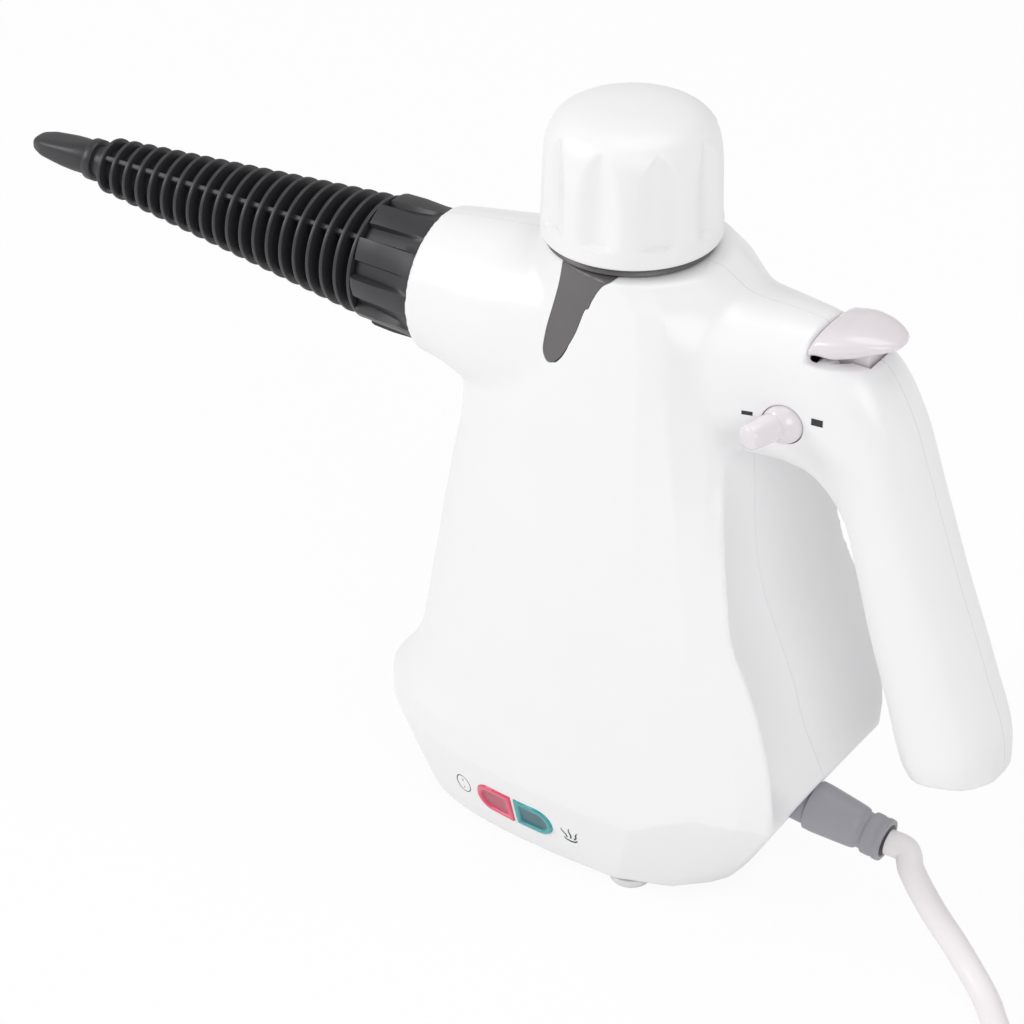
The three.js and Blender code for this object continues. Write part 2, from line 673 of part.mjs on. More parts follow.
const lidLow = gasketHigh + fit;
const lidInner = boilerRadius - boilerWall * 2;
const lidProfile = [[lidInner, lidLow], [boilerFlange, lidLow], [boilerFlange, lidLow + flangeThickness],
  [neckOuter + boilerWall, lidShoulder], [neckOuter, lidShoulder + boilerWall],
  [neckOuter, neckTop], [neckBore, neckTop],
  [neckBore, lidShoulder - boilerWall], [lidInner, lidLow + flangeThickness * 0.7], [lidInner, lidLow]];
add("boiler_lid", turned(lidProfile, 32), castAluminium(), filler);

// Heater and its cut-outs under and beside the pot
const heaterTube = 3.4;
const heaterRing = 18;
const heater = new THREE.TorusGeometry(heaterRing, heaterTube, 7, 18);
add("heating_element", heater.translate(0, 0, boilerBottom - fit - heaterTube), steel(), filler);
const thermostatRadius = 8;
const thermostatHeight = 5;
add("thermostat", turned([[0, boilerBottom - fit - thermostatHeight],
  [thermostatRadius * 0.7, boilerBottom - fit - thermostatHeight],
  [thermostatRadius, boilerBottom - fit - thermostatHeight * 0.6], [thermostatRadius, boilerBottom - fit],
  [0, boilerBottom - fit]], 20), blackRubber(), filler);
const fuseRadius = 2.3;
const fuseLength = 16;
const fuseMiddle = mix(boilerBottom, boilerTop, 0.3);
add("thermal_fuse", rod(fuseRadius, fuseMiddle - fuseLength / 2, fuseMiddle + fuseLength / 2, 12)
  .translate(-boilerRadius - fit - fuseRadius, 0, 0), brass(), filler);

// Filler cap: fluted cover, inner plug, its spring and seal
const plugShoulder = neckTop + gasketThickness;
const plugTop = capRimHeight + capHeight * 0.3;
const capTop = capRimHeight + capHeight;
const capProfileShares = [
  [1, 0], [1, 0.16], [0.992, 0.24], [0.985, 0.42], [0.978, 0.58], [0.962, 0.7], [0.922, 0.8],
  [0.835, 0.885], [0.65, 0.95], [0.34, 0.988],
];
const fluteShares = [0, 0, 0.8, 1, 1, 0.9, 0.6, 0.25, 0, 0];
const fluteTurnShares = [-0.5, -0.25, -0.12, 0, 0.12, 0.25]; // places round one flute
function capOutside() {
  const rings = capProfileShares.map(([radius, height], k) => {
    const ring = [];
    for (let i = 0; i < capFluteCount; i += 1) {
      for (const share of fluteTurnShares) {
        const turn = (2 * Math.PI * (i + share)) / capFluteCount;
        const wave = Math.max(0, 1 - Math.abs(share) / 0.25);
        const r = radius * capRadius - capFluteDepth * fluteShares[k] * wave;
        ring.push(v3(r * Math.cos(turn), r * Math.sin(turn), capRimHeight + height * capHeight));
      }
    }
    return ring;
  });
  const body = loft(rings);
  const place = body.getAttribute("position");
  place.setZ(place.count - 1, capTop);
  return solid(body);
}
const capInner = capRadius - capWall - capFluteDepth;
const capBoss = 6.5;
const capCeiling = capTop - capWall * 2.4;
const plugNeck = 5.5;
const stemTop = plugTop + capStemRise;
const capCavity = turned([[0, capRimHeight - overrun], [capRadius - capWall, capRimHeight - overrun],
  [capRadius - capWall, capRimHeight + capHeight * 0.14], [capInner, capRimHeight + capHeight * 0.2],
  [capInner, capRimHeight + capHeight * 0.72], [capInner * 0.75, capCeiling], [capBoss, capCeiling],
  [capBoss, stemTop + fit], [0, stemTop + fit]], 32);
add("cap_cover", capOutside().subtract(solid(capCavity)), whiteAbs(), filler);
const fillerPlugRadius = neckBore - fit - fit;
const plugFlange = neckOuter - fit;
add("cap_plug", turned([[0, lidShoulder + neckBore], [fillerPlugRadius - fit, lidShoulder + neckBore],
  [fillerPlugRadius, lidShoulder + neckBore + 2 * fit], [fillerPlugRadius, plugShoulder], [plugFlange, plugShoulder],
  [plugFlange, plugTop], [plugNeck, plugTop], [plugNeck, stemTop], [0, stemTop]], 28), charcoalNylon(), filler);
add("cap_seal", turned(ringProfile(fillerPlugRadius + fit, plugFlange - fit, neckTop + fit,
  plugShoulder - fit), 28), silicone(), filler);
const capSpringWire = 1.2;
add("cap_spring", spring(capBoss + fit + capSpringWire, capSpringWire, plugTop + fit,
  capCeiling - fit, 5), steel(), filler);

// Nozzle, drawn along +Z from the seam and then laid along its axis
const nozzle = new THREE.Group();
nozzle.applyMatrix4(nozzleFrame);
part.add(nozzle);

const socketFlange = socketRadius + flangeThickness;
const socketSeat = housingWall + fit * 3;
const socketProfile = [[socketBore, -socketInside], [socketRadius, -socketInside],
  [socketRadius, -socketSeat - boilerWall], [socketFlange, -socketSeat - boilerWall],
  [socketFlange, -socketSeat], [socketRadius, -socketSeat], [socketRadius, socketOutside],
  [socketBore, socketOutside], [socketBore, -socketInside]];
add("spout_socket", turned(socketProfile, 28), charcoalNylon(), nozzle);

// Turning collar with its wedge grips
const collarFront = collarLength - fit;
const collarGrips = 10;
const collarSides = collarGrips * 6;
const gripRowShares = [ // along the collar, radius as a share of the seam's, how far the wedges stand
  [0.03, 0.97, 0.02], [0.3, 0.9, 0.5], [0.62, 0.855, 0.9], [0.95, 0.83, 1], [1, 0.815, 0.9],
];
const gripDepth = 1.9;
function collarOutside() {
  const rings = gripRowShares.map(([along, radius, stand]) => {
    const ring = [];
    for (let i = 0; i < collarSides; i += 1) {
      const turn = (2 * Math.PI * i) / collarSides;
      const step = i % 6;
      const raised = step >= 1 && step <= 4 ? 1 : 0;
      const r = radius * seamRadius - gripDepth / 2 + gripDepth * stand * raised * (0.6 + 0.1 * step);
      ring.push(v3(r * Math.cos(turn), r * Math.sin(turn), along * collarFront));
    }
    return ring;
  });
  return solid(loft(rings));
}
const collarBore = socketRadius + fit;
const collarEnd = socketOutside + fit;
const collarCavity = turned([[0, -overrun], [collarBore, -overrun], [collarBore, collarEnd],
  [spigotRadius + fit, collarEnd], [spigotRadius + fit, collarFront + overrun],
  [0, collarFront + overrun]], 28);
add("nozzle_collar", collarOutside().subtract(solid(collarCavity)), charcoalNylon(), nozzle);

// Finned tube: spigot, flange, ribs and four webs, bored through
const finSegments = 14;
const flangeAt = collarLength;
const ribAt = (k) => flangeAt + ribPitch * k;
const ribRadius = (k) => mix(lastRibRadius, firstRibRadius, (k - 1) / (ribCount - 1));
const finEnd = ribAt(ribCount) + ribThickness * 2.2;
const sealWidth = 2.4;
const sealAt = -spigotInside / 2;
const sealGroove = spigotRadius - sealGrooveDepth;
const finProfile = [[nozzleBore, -spigotInside], [spigotRadius, -spigotInside],
  [spigotRadius, sealAt - sealWidth / 2], [sealGroove, sealAt - sealWidth / 2],
  [sealGroove, sealAt + sealWidth / 2], [spigotRadius, sealAt + sealWidth / 2],
  [spigotRadius, flangeAt], [flangeRadius, flangeAt],
  [flangeRadius, flangeAt + ribThickness], [flangeRadius * coreShare, flangeAt + ribThickness]];
for (let k = 1; k <= ribCount; k += 1) {
  const r = ribRadius(k);
  finProfile.push([r * coreShare, ribAt(k)]);
  finProfile.push([r, ribAt(k)]);
  finProfile.push([r, ribAt(k) + ribThickness]);
  finProfile.push([r * coreShare, ribAt(k) + ribThickness]);
}
finProfile.push([tipNeckRadius, finEnd]);
finProfile.push([nozzleBore, finEnd]);
finProfile.push([nozzleBore, -spigotInside]);
let fins = solid(turned(finProfile, finSegments));
const webLow = flangeAt + ribThickness / 2;
const webHigh = ribAt(ribCount) + ribThickness / 2;
for (let k = 0; k < 4; k += 1) {
  const turn = (Math.PI / 2) * (k + 0.5);
  const outline = new THREE.Shape();
  outline.moveTo(nozzleBore * 1.3, webLow);
  outline.lineTo(lastRibRadius * webShare, webLow);
  outline.lineTo(firstRibRadius * webShare, webHigh);
  outline.lineTo(nozzleBore * 1.3, webHigh);
  const web = new THREE.ExtrudeGeometry(outline, { depth: webThickness, bevelEnabled: false });
  web.translate(0, 0, -webThickness / 2).rotateX(Math.PI / 2).rotateZ(turn);
  fins = fins.add(solid(web));
}
add("nozzle_fins", fins, charcoalNylon(), nozzle);

const sealTube = (socketBore - sealGroove) / 2 - fit;
add("nozzle_seal", new THREE.TorusGeometry(sealGroove + fit + sealTube, sealTube, 6, 20)
  .translate(0, 0, sealAt), silicone(), nozzle);

// Tip: a round neck with a ring, flattened towards a rounded end, bored through
const tipStart = finEnd + fit;
const tipRowShares = [ // along the tip, half width and half thickness as shares of its neck radius
  [0, 1, 1], [0.06, 1, 1], [0.07, 1.18, 1.18], [0.14, 1.18, 1.18], [0.15, 1.02, 1.02],
  [0.3, 1.0, 1.0], [0.38, 1.02, 0.86], [0.62, 0.92, 0.68], [0.86, 0.74, 0.52], [0.96, 0.6, 0.42], [1, 0.42, 0.3],
];
const tipRings = tipRowShares.map(([along, wide, thick]) => {
  const ring = [];
  for (let i = 0; i < 16; i += 1) {
    const turn = (2 * Math.PI * i) / 16;
    ring.push(v3(thick * tipNeckRadius * Math.cos(turn), wide * tipNeckRadius * Math.sin(turn),
      tipStart + along * tipLength));
  }
  return ring;
});
const tipBore = 1.1;
const tipHole = rod(tipBore, tipStart - overrun, tipStart + tipLength + overrun, 10);
add("nozzle_tip", solid(loft(tipRings)).subtract(solid(tipHole)), charcoalNylon(), nozzle);

// Trigger: a wedge-shaped paddle over a web that turns on a pin
const paddleRowShares = [ // along the paddle, half width, top and underside as shares of its depth
  [0, 1.0, 0.5, 0], [0.08, 1.02, 0.8, 0], [0.25, 1.02, 0.92, 0], [0.45, 0.95, 1, 0.1],
  [0.62, 0.84, 0.98, 0.24], [0.82, 0.62, 0.9, 0.42], [0.95, 0.4, 0.82, 0.52], [1, 0.22, 0.76, 0.58],
];
const paddleFront = ledgeFront + fit;
const paddleLow = ledgeZ + fit * 2;
const paddleDepth = triggerTop - paddleLow;
function paddle() {
  const rings = paddleRowShares.map(([along, half, top, under]) => {
    const x = mix(paddleFront, triggerTipX, along);
    const high = paddleLow + paddleDepth * top;
    const low = paddleLow + paddleDepth * under;
    const ring = [];
    for (let i = 0; i < 16; i += 1) {
      const [c, s] = superEllipse((2 * Math.PI * i) / 16, 2.6);
      ring.push(v3(x, c * half * triggerHalf, mix(low, high, (s + 1) / 2)));
    }
    return ring;
  });
  return solid(loft(rings));
}
const webFront = triggerPivotX - pinRadius - bossWall;
const webRear = valveX + plungerHead;
const webTop = triggerTop - paddleDepth * 0.45;
const plungerTop = valveTop + plungerRise;
const triggerWeb = new THREE.Shape();
triggerWeb.moveTo(webFront, triggerPivotZ - pinRadius - bossWall);
triggerWeb.lineTo(valveX - plungerHead, plungerTop + fit);
triggerWeb.lineTo(webRear, plungerTop + fit);
triggerWeb.lineTo(webRear, webTop);
triggerWeb.lineTo(webFront, webTop);
const webForm = new THREE.ExtrudeGeometry(triggerWeb, { depth: 2 * triggerWebHalf, bevelEnabled: false });
const triggerBody = paddle().add(solid(webForm.rotateX(Math.PI / 2).translate(0, triggerWebHalf, 0)))
  .subtract(solid(crossRod(pinRadius + fit, -bellyHalf, bellyHalf, triggerPivotX, triggerPivotZ, 12)));
add("trigger", triggerBody, clearSmoke());
add("trigger_pin", crossRod(pinRadius, -pinHalf, pinHalf, triggerPivotX, triggerPivotZ, 12), steel());

// Steam valve, plunger and spring
const valveBore = valveSpringRadius + springWire;
const valveFloor = mix(valveBottom, valveTop, 0.55);
add("valve_body", turned([[0, valveBottom], [valveRadius, valveBottom], [valveRadius, valveTop],
  [valveBore, valveTop], [valveBore, valveFloor], [plungerRadius + fit, valveFloor],
  [plungerRadius + fit, valveBottom + pipeRadius], [0, valveBottom + pipeRadius]], 20)
  .translate(valveX, 0, 0), brass());
const plungerLow = valveBottom + pipeRadius * 2;
add("valve_plunger", turned([[0, plungerLow], [plungerRadius, plungerLow],
  [plungerRadius, plungerTop - plungerRadius], [plungerHead, plungerTop - plungerRadius],
  [plungerHead, plungerTop - plungerRadius / 2], [plungerRadius / 2, plungerTop],
  [0, plungerTop]], 16).translate(valveX, 0, 0), brass());
add("valve_spring", spring(valveSpringRadius - springWire / 4, springWire, valveFloor + fit,
  plungerTop - plungerRadius - fit, 4).translate(valveX, 0, 0), steel());

// Steam pipes: boiler neck to valve, and valve round the neck to the spout
function pipe(points) {
  const path = new THREE.CatmullRomCurve3(points);
  const section = new THREE.Shape().absarc(0, 0, pipeRadius, 0, 2 * Math.PI);
  section.holes.push(new THREE.Path().absarc(0, 0, pipeBore, 0, 2 * Math.PI));
  const steps = 2 * (points.length - 1);
  return new THREE.ExtrudeGeometry(section, { extrudePath: path, steps, curveSegments: 3 });
}
const inletZ = mix(valveBottom, valveTop, 0.42);
const outletZ = seamZ;
const valveFace = valveX - valveRadius - fit;
const inletStart = fillerX + neckOuter + fit;
add("inlet_pipe", pipe([v3(inletStart, 0, inletZ), v3((inletStart + valveFace) / 2, 0, inletZ),
  v3(valveFace, 0, inletZ)]), brass());
const socketBack = seamX + socketInside + fit;
const pipeSwing = neckOuter + pipeRadius * 2.2;
add("outlet_pipe", pipe([v3(valveFace - fit, 0, outletZ), v3(valveFace * 0.84, pipeSwing * 0.12, outletZ),
  v3(valveFace * 0.5, pipeSwing * 0.62, outletZ), v3(valveFace * 0.24, pipeSwing * 0.9, outletZ),
  v3(fillerX, pipeSwing, outletZ), v3(socketBack * 0.45, pipeSwing * 0.84, outletZ),
  v3(socketBack * 0.84, pipeSwing * 0.16, outletZ), v3(socketBack, 0, outletZ)]), brass());

// Lock lever: a ball in the left flank with a peg outside and a finger inside
const lockGroup = new THREE.Group();
lockGroup.position.set(lockX, lockY, lockZ);
lockGroup.rotation.z = -lockLean;
part.add(lockGroup);
const lockPeg = turned([[0, 0], [lockStalk, 0], [lockStalk * 0.93, lockLength * 0.6],
  [lockStalk * 0.86, lockLength * 0.93], [lockStalk * 0.6, lockLength], [0, lockLength]], 16);
const lockFinger = rod(lockStalk / 2, -lockBall * 1.45, 0, 10);
const lockForm = solid(new THREE.SphereGeometry(lockBall, 14, 9)).add(solid(lockPeg.rotateX(Math.PI / 2)))
  .add(solid(lockFinger.rotateX(Math.PI / 2)));
add("lock_lever", lockForm, clearSmoke(), lockGroup);

// Lenses, lamp board and lamps behind the left bevel
const lensProud = 0.5;
add("power_lens", lensBody(powerLensX, -1, 0, lensThickness, lensProud), finish("#c8395a", 0.15));
add("ready_lens", lensBody(readyLensX, 1, 0, lensThickness, lensProud), finish("#1f8a8c", 0.15));
const lamps = new THREE.Group();
lamps.applyMatrix4(lensFrame(lensMiddleX));
part.add(lamps);
const lampRadius = 2.4;
const lampHeight = 4;
const lampTop = -lensThickness - fit * 3;
const boardTop = lampTop - lampHeight - fit;
const boardThickness = 1.6;
["power_lamp", "ready_lamp"].forEach((name, i) => {
  const x = lensOffset * (i * 2 - 1);
  const dome = turned([[0, boardTop + fit], [lampRadius, boardTop + fit], [lampRadius, lampTop - lampRadius],
    [lampRadius * 0.7, lampTop - lampRadius * 0.25], [0, lampTop]], 12);
  add(name, dome.translate(x, 0, 0), finish("#e9e4dc", 0.2), lamps);
});
add("lamp_board", block(-lensLength, lensLength, -lensHeight / 2, lensHeight / 2,
  boardTop - boardThickness, boardTop), boardGreen(), lamps);

// Terminal block on the base plate
const terminalLength = 12;
const terminalHalf = 10;
const terminalHeight = 9;
const terminalFront = rearReach * 0.3;
add("terminal_block", block(terminalFront, terminalFront + terminalLength, -terminalHalf, terminalHalf,
  plateHigh + fit, plateHigh + fit + terminalHeight), finish("#e7e3d6", 0.5));

// Cord gland: a strain relief with a ringed collar, drawn along +Z and then tilted
const glandRowShares = [ // along the gland outside the housing, radius as a share of its root
  [0, 1], [0.1, 1], [0.55, 0.87], [0.63, 0.86], [0.66, 0.76], [0.72, 0.76], [0.74, 0.86], [0.82, 0.86],
  [0.84, 0.78], [0.88, 0.78], [0.9, 0.84], [1, 0.82],
];
const glandProfile = [[0, -glandInside], [glandNeck, -glandInside], [glandNeck, fit]];
for (const [along, radius] of glandRowShares) {
  glandProfile.push([radius * glandRadius, fit + along * glandLength]);
}
glandProfile.push([cordDiameter / 2 + fit, fit + glandLength]);
glandProfile.push([cordDiameter / 2 + fit, fit + glandLength * 0.9]);
glandProfile.push([0, fit + glandLength * 0.9]);
const glandBody = solid(turned(glandProfile, 24).applyMatrix4(glandFrame)).subtract(
  outside.subtract(glandHole));
add("cord_gland", glandBody, greyPvc());

// Mains lead from the gland to the coil: a hand-laid route, each point the middle of the cord
const cordRadius = cordDiameter / 2;
const glandMouth = fit + glandLength;
const leadStart = v3(0, 0, glandMouth + fit).applyMatrix4(glandFrame);
const leadStraight = v3(0, 0, glandMouth + cordDiameter * 0.8).applyMatrix4(glandFrame);
const coilLow = cordRadius + tieThickness + fit;
const coilOuter = coilMiddle + (coilPitch * spiralTurns()) / 2;
const coilEnd = coilX - cordDiameter * 1.5;
const leadRoute = [
  leadStart, leadStraight, v3(91.6, -2.6, 22.6), v3(101.1, -7.6, 16), v3(109.9, -11.2, 10.8),
  v3(117.2, -14.9, 6.8), v3(124.4, -20.2, 4.4), v3(130.4, -27, cordRadius), v3(137.6, -34.6, cordRadius),
  v3(146, -41.2, 3.7), v3(156, -46.6, 3.85), v3(166.5, -49.7, 4.3),
  v3(coilEnd - cordDiameter - fit, coilY - coilOuter, coilLow),
  v3(coilEnd - fit, coilY - coilOuter, coilLow),
];

// A cord section carried along a curve, about two diameters a step
function cordTube(points, name) {
  const path = new THREE.CatmullRomCurve3(points, false, "centripetal");
  const length = path.getLength();
  const section = new THREE.Shape();
  for (let i = 0; i < 10; i += 1) {
    const turn = (2 * Math.PI * i) / 10;
    const [x, y] = [cordRadius * Math.cos(turn), cordRadius * Math.sin(turn)];
    if (i === 0) section.moveTo(x, y);
    else section.lineTo(x, y);
  }
  const steps = Math.round(length / (cordDiameter * 1.2));
  const form = new THREE.ExtrudeGeometry(section, { extrudePath: path, steps, bevelEnabled: false });
  console.log(`${name} ${length.toFixed(0)} mm`);
  return { form, length };
}

// Coil: one tube that spirals in and out by turns and climbs a layer where it turns back
function spiralTurns() {
  return (coilTurns - (coilLayers - 1) / 2) / coilLayers;
}

function coilPoint(turns) {
  const stage = spiralTurns() + 0.5;
  const layer = Math.min(Math.floor(turns / stage), coilLayers - 1);
  const within = turns - layer * stage;
  const inward = layer % 2 === 0;
  const innerEdge = coilOuter - coilPitch * spiralTurns();
  let radius = inward ? coilOuter - coilPitch * within : innerEdge + coilPitch * within;
  let climb = layer;
  if (within > spiralTurns()) {
    const share = (within - spiralTurns()) / 0.5;
    const swing = coilBulge * Math.sin(Math.PI * share);
    radius = inward ? innerEdge - swing : coilOuter + swing;
    climb += (1 - Math.cos(Math.PI * share)) / 2;
  }
  const angle = -Math.PI / 2 + 2 * Math.PI * turns;
  return v3(coilX + radius * Math.cos(angle), coilY + radius * Math.sin(angle), coilLow + climb * coilPitch);
}

const coilSteps = 24;
const coilRoute = [v3(coilEnd, coilY - coilOuter, coilLow), v3(coilEnd + cordDiameter, coilY - coilOuter, coilLow)];
for (let i = 0; i <= coilTurns * coilSteps; i += 1) coilRoute.push(coilPoint(i / coilSteps));
const coilTop = coilLow + (coilLayers - 1) * coilPitch;
coilRoute.push(v3(coilEnd + cordDiameter, coilY + coilOuter, coilTop), v3(coilEnd, coilY + coilOuter, coilTop));
let coilLength = 0;
let leastGap = Infinity;
coilRoute.forEach((p, i) => {
  if (i > 0) coilLength += p.distanceTo(coilRoute[i - 1]);
  for (let j = i + coilSteps / 2; j < coilRoute.length; j += 1) {
    leastGap = Math.min(leastGap, p.distanceTo(coilRoute[j]) - cordDiameter);
  }
});

const lead = cordTube(leadRoute, "lead");
add("cord_lead", lead.form, cordPvc());
add("cord_coil", wireThrough(coilRoute, cordRadius, 6), cordPvc());

// Tail from the top of the coil to the plug, which lies across the coil
const tailY = coilY + coilOuter;
const plugY = coilY - plugAside;
const plugZ = coilTop + cordRadius + fit + plugRadius;
const tailEnd = coilX - plugSetback;
const tailRoute = [
  v3(coilEnd - fit, tailY, coilTop), v3(coilEnd - fit - cordDiameter, tailY, coilTop),
  v3(168.5, 49.3, 30.1), v3(160.2, 45, 32), v3(153.8, 37.6, 35.2), v3(150, 27.6, 39.4), v3(148.7, 16, 44),
  v3(149, 4.5, 48), v3(150.9, -6, 50.4), v3(156.2, -14.5, 51.3), v3(164.4, -20.1, plugZ),
  v3(tailEnd - cordDiameter, plugY, plugZ), v3(tailEnd, plugY, plugZ),
];
const tail = cordTube(tailRoute, "tail");
add("cord_tail", tail.form, cordPvc());
console.log(`coil ${coilLength.toFixed(0)} mm, least gap to itself ${leastGap.toFixed(2)} mm`);
console.log(`cord ${((lead.length + tail.length + coilLength) / 1000).toFixed(3)} m in all`);

// Tie round the coil's bundle, and the earthed two-pin plug
const bundleHalf = (coilPitch * spiralTurns()) / 2 + coilBulge + cordRadius + fit;
const bundleHeight = (coilLayers - 1) * coilPitch + cordDiameter + 2 * fit;
const roundedFrame = (halfWidth, height, grow) => {
  const corner = cordRadius;
  const [x, top] = [halfWidth + grow, height + grow];
  const outline = new THREE.Shape();
  outline.moveTo(-x + corner, -grow);
  outline.lineTo(x - corner, -grow).quadraticCurveTo(x, -grow, x, corner - grow);
  outline.lineTo(x, top - corner).quadraticCurveTo(x, top, x - corner, top);
  outline.lineTo(-x + corner, top).quadraticCurveTo(-x, top, -x, top - corner);
  outline.lineTo(-x, corner - grow).quadraticCurveTo(-x, -grow, -x + corner, -grow);
  return outline;
};
const tieFrame = roundedFrame(bundleHalf, bundleHeight, tieThickness);
tieFrame.holes.push(new THREE.Path(roundedFrame(bundleHalf, bundleHeight, 0).getPoints(3)));
const tie = new THREE.ExtrudeGeometry(tieFrame, { depth: tieWidth, bevelEnabled: false, curveSegments: 3 });
tie.rotateX(Math.PI / 2).translate(coilX + coilMiddle, coilY + tieWidth / 2, tieThickness);
add("coil_tie", tie, blackRubber());

const plugTurned = turned([[0, 0], [cordRadius + plugReliefWall, 0], [plugRelief * 0.34, plugRelief],
  [plugRadius * 0.62, plugRelief + plugBody * 0.12], [plugRadius * 0.78, plugRelief + plugBody * 0.5],
  [plugRadius * 0.97, plugRelief + plugBody * 0.72], [plugRadius, plugRelief + plugBody * 0.8],
  [plugRadius, plugRelief + plugBody], [0, plugRelief + plugBody]], 24);
const toPlug = (form) => form.rotateY(Math.PI / 2).translate(tailEnd + fit, plugY, plugZ);
add("plug_body", toPlug(plugTurned), cordPvc());
[-1, 1].forEach((side, i) => {
  const low = plugRelief + plugBody + fit;
  const pin = turned([[0, low], [plugPinRadius, low], [plugPinRadius, low + plugPinLength * 0.9],
    [plugPinRadius * 0.5, low + plugPinLength], [0, low + plugPinLength]], 12);
  add(`plug_pin_${i + 1}`, toPlug(pin.translate(0, (side * plugPinSpacing) / 2, 0)), steel());
});

// The cord and what is on it stay out of the box that centres the part
const looseNodes = ["cord_lead", "cord_coil", "cord_tail", "coil_tie", "plug_body", "plug_pin_1", "plug_pin_2"];
part.updateMatrixWorld(true);
const box = new THREE.Box3();
part.traverse((piece) => {
  if (piece.isMesh && !looseNodes.includes(piece.name)) box.expandByObject(piece, true);
});
part.position.x = -(box.min.x + box.max.x) / 2;
console.log(`model zero at x = ${part.position.x.toFixed(2)}`);

export default part;
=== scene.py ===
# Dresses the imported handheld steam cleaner. Lengths are in millimetres, as in the part's source,
# and a mesh turns them into the frame's metres where it is made.
from math import copysign, cos, dist, hypot, pi, radians, sin

import bmesh
import bpy
import numpy as np
from mathutils import Matrix, Vector
from mathutils.bvhtree import BVHTree


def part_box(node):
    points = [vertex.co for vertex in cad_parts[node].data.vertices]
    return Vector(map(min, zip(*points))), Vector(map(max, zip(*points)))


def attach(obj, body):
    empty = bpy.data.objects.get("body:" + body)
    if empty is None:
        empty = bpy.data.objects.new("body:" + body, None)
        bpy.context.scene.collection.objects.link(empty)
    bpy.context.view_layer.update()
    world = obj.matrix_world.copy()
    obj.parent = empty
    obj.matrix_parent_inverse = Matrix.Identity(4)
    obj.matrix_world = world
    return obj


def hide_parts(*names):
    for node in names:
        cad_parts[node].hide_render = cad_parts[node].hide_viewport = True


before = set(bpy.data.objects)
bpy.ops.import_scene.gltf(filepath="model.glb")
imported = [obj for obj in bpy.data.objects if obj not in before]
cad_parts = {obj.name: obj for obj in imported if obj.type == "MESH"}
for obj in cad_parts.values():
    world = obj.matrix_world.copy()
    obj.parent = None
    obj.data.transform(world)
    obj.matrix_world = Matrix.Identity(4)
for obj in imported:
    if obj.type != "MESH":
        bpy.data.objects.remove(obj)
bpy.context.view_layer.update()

MM = 0.001
FIT = 0.3  # gap between neighbours
OVERRUN = 4.0  # how far a cutter runs past what it cuts
FAR = 300.0  # past everything
SMOOTH_ANGLE = 38.0  # a sharper edge than this, in degrees, stays hard
FILLER_X = -1.8
AT_FILLER = Matrix.Translation((FILLER_X, 0, 0))
cap_low, cap_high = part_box("cap_cover")
ZERO_X = (cap_low[0] + cap_high[0]) / 2 / MM - FILLER_X  # the source's zero in the frame
ZERO = Vector((ZERO_X, 0, 0))


def add_object(name, data):
    made = bpy.data.objects.new(name, data)
    bpy.context.collection.objects.link(made)
    return made


def frame_at(place, along, up, out):
    """A frame at a place, from its three directions."""
    return Matrix.Translation(place) @ Matrix((along, up, out)).transposed().to_4x4()


# Camera at the photograph's viewing angle
PICTURE_PIXELS, FOCAL_PIXELS = 1024, 3500
CAMERA_LENS, CAMERA_SENSOR, CAMERA_REACH = 123.05, 36, 20
CAMERA_PLACE = Vector((0.45398, -0.6889, 0.6054))
CAMERA_RIGHT = Vector((0.838, 0.546, 0))
CAMERA_BACK = Vector((0.4630, -0.7100, 0.5307))


def place_camera():
    camera = bpy.data.cameras.new("camera")
    camera.lens = CAMERA_LENS
    camera.sensor_width = CAMERA_SENSOR
    camera.sensor_height = CAMERA_SENSOR
    camera.clip_end = CAMERA_REACH
    eye = add_object("camera", camera)
    back = CAMERA_BACK.normalized()
    up = back.cross(CAMERA_RIGHT.normalized()).normalized()
    eye.matrix_world = frame_at(CAMERA_PLACE, up.cross(back).normalized(), up, back)
    bpy.context.scene.camera = eye
    return eye


eye = place_camera()


# Colours and materials
def linear(code):
    parts = [int(code[i:i + 2], 16) / 255 for i in (1, 3, 5)]
    return [p / 12.92 if p <= 0.04045 else ((p + 0.055) / 1.055) ** 2.4 for p in parts] + [1.0]


def add_node(tree, kind, links=(), **settings):
    """Adds a node. A setting is one of its fields or the value of the input of that name."""
    made = tree.nodes.new(kind)
    for name, value in settings.items():
        if hasattr(made, name):
            setattr(made, name, value)
        else:
            made.inputs[name.replace("_", " ")].default_value = value
    for name, socket in links:
        tree.links.new(socket, made.inputs[name])
    return made


CLOUD_MM = 18  # size of the slow pattern in colour and roughness


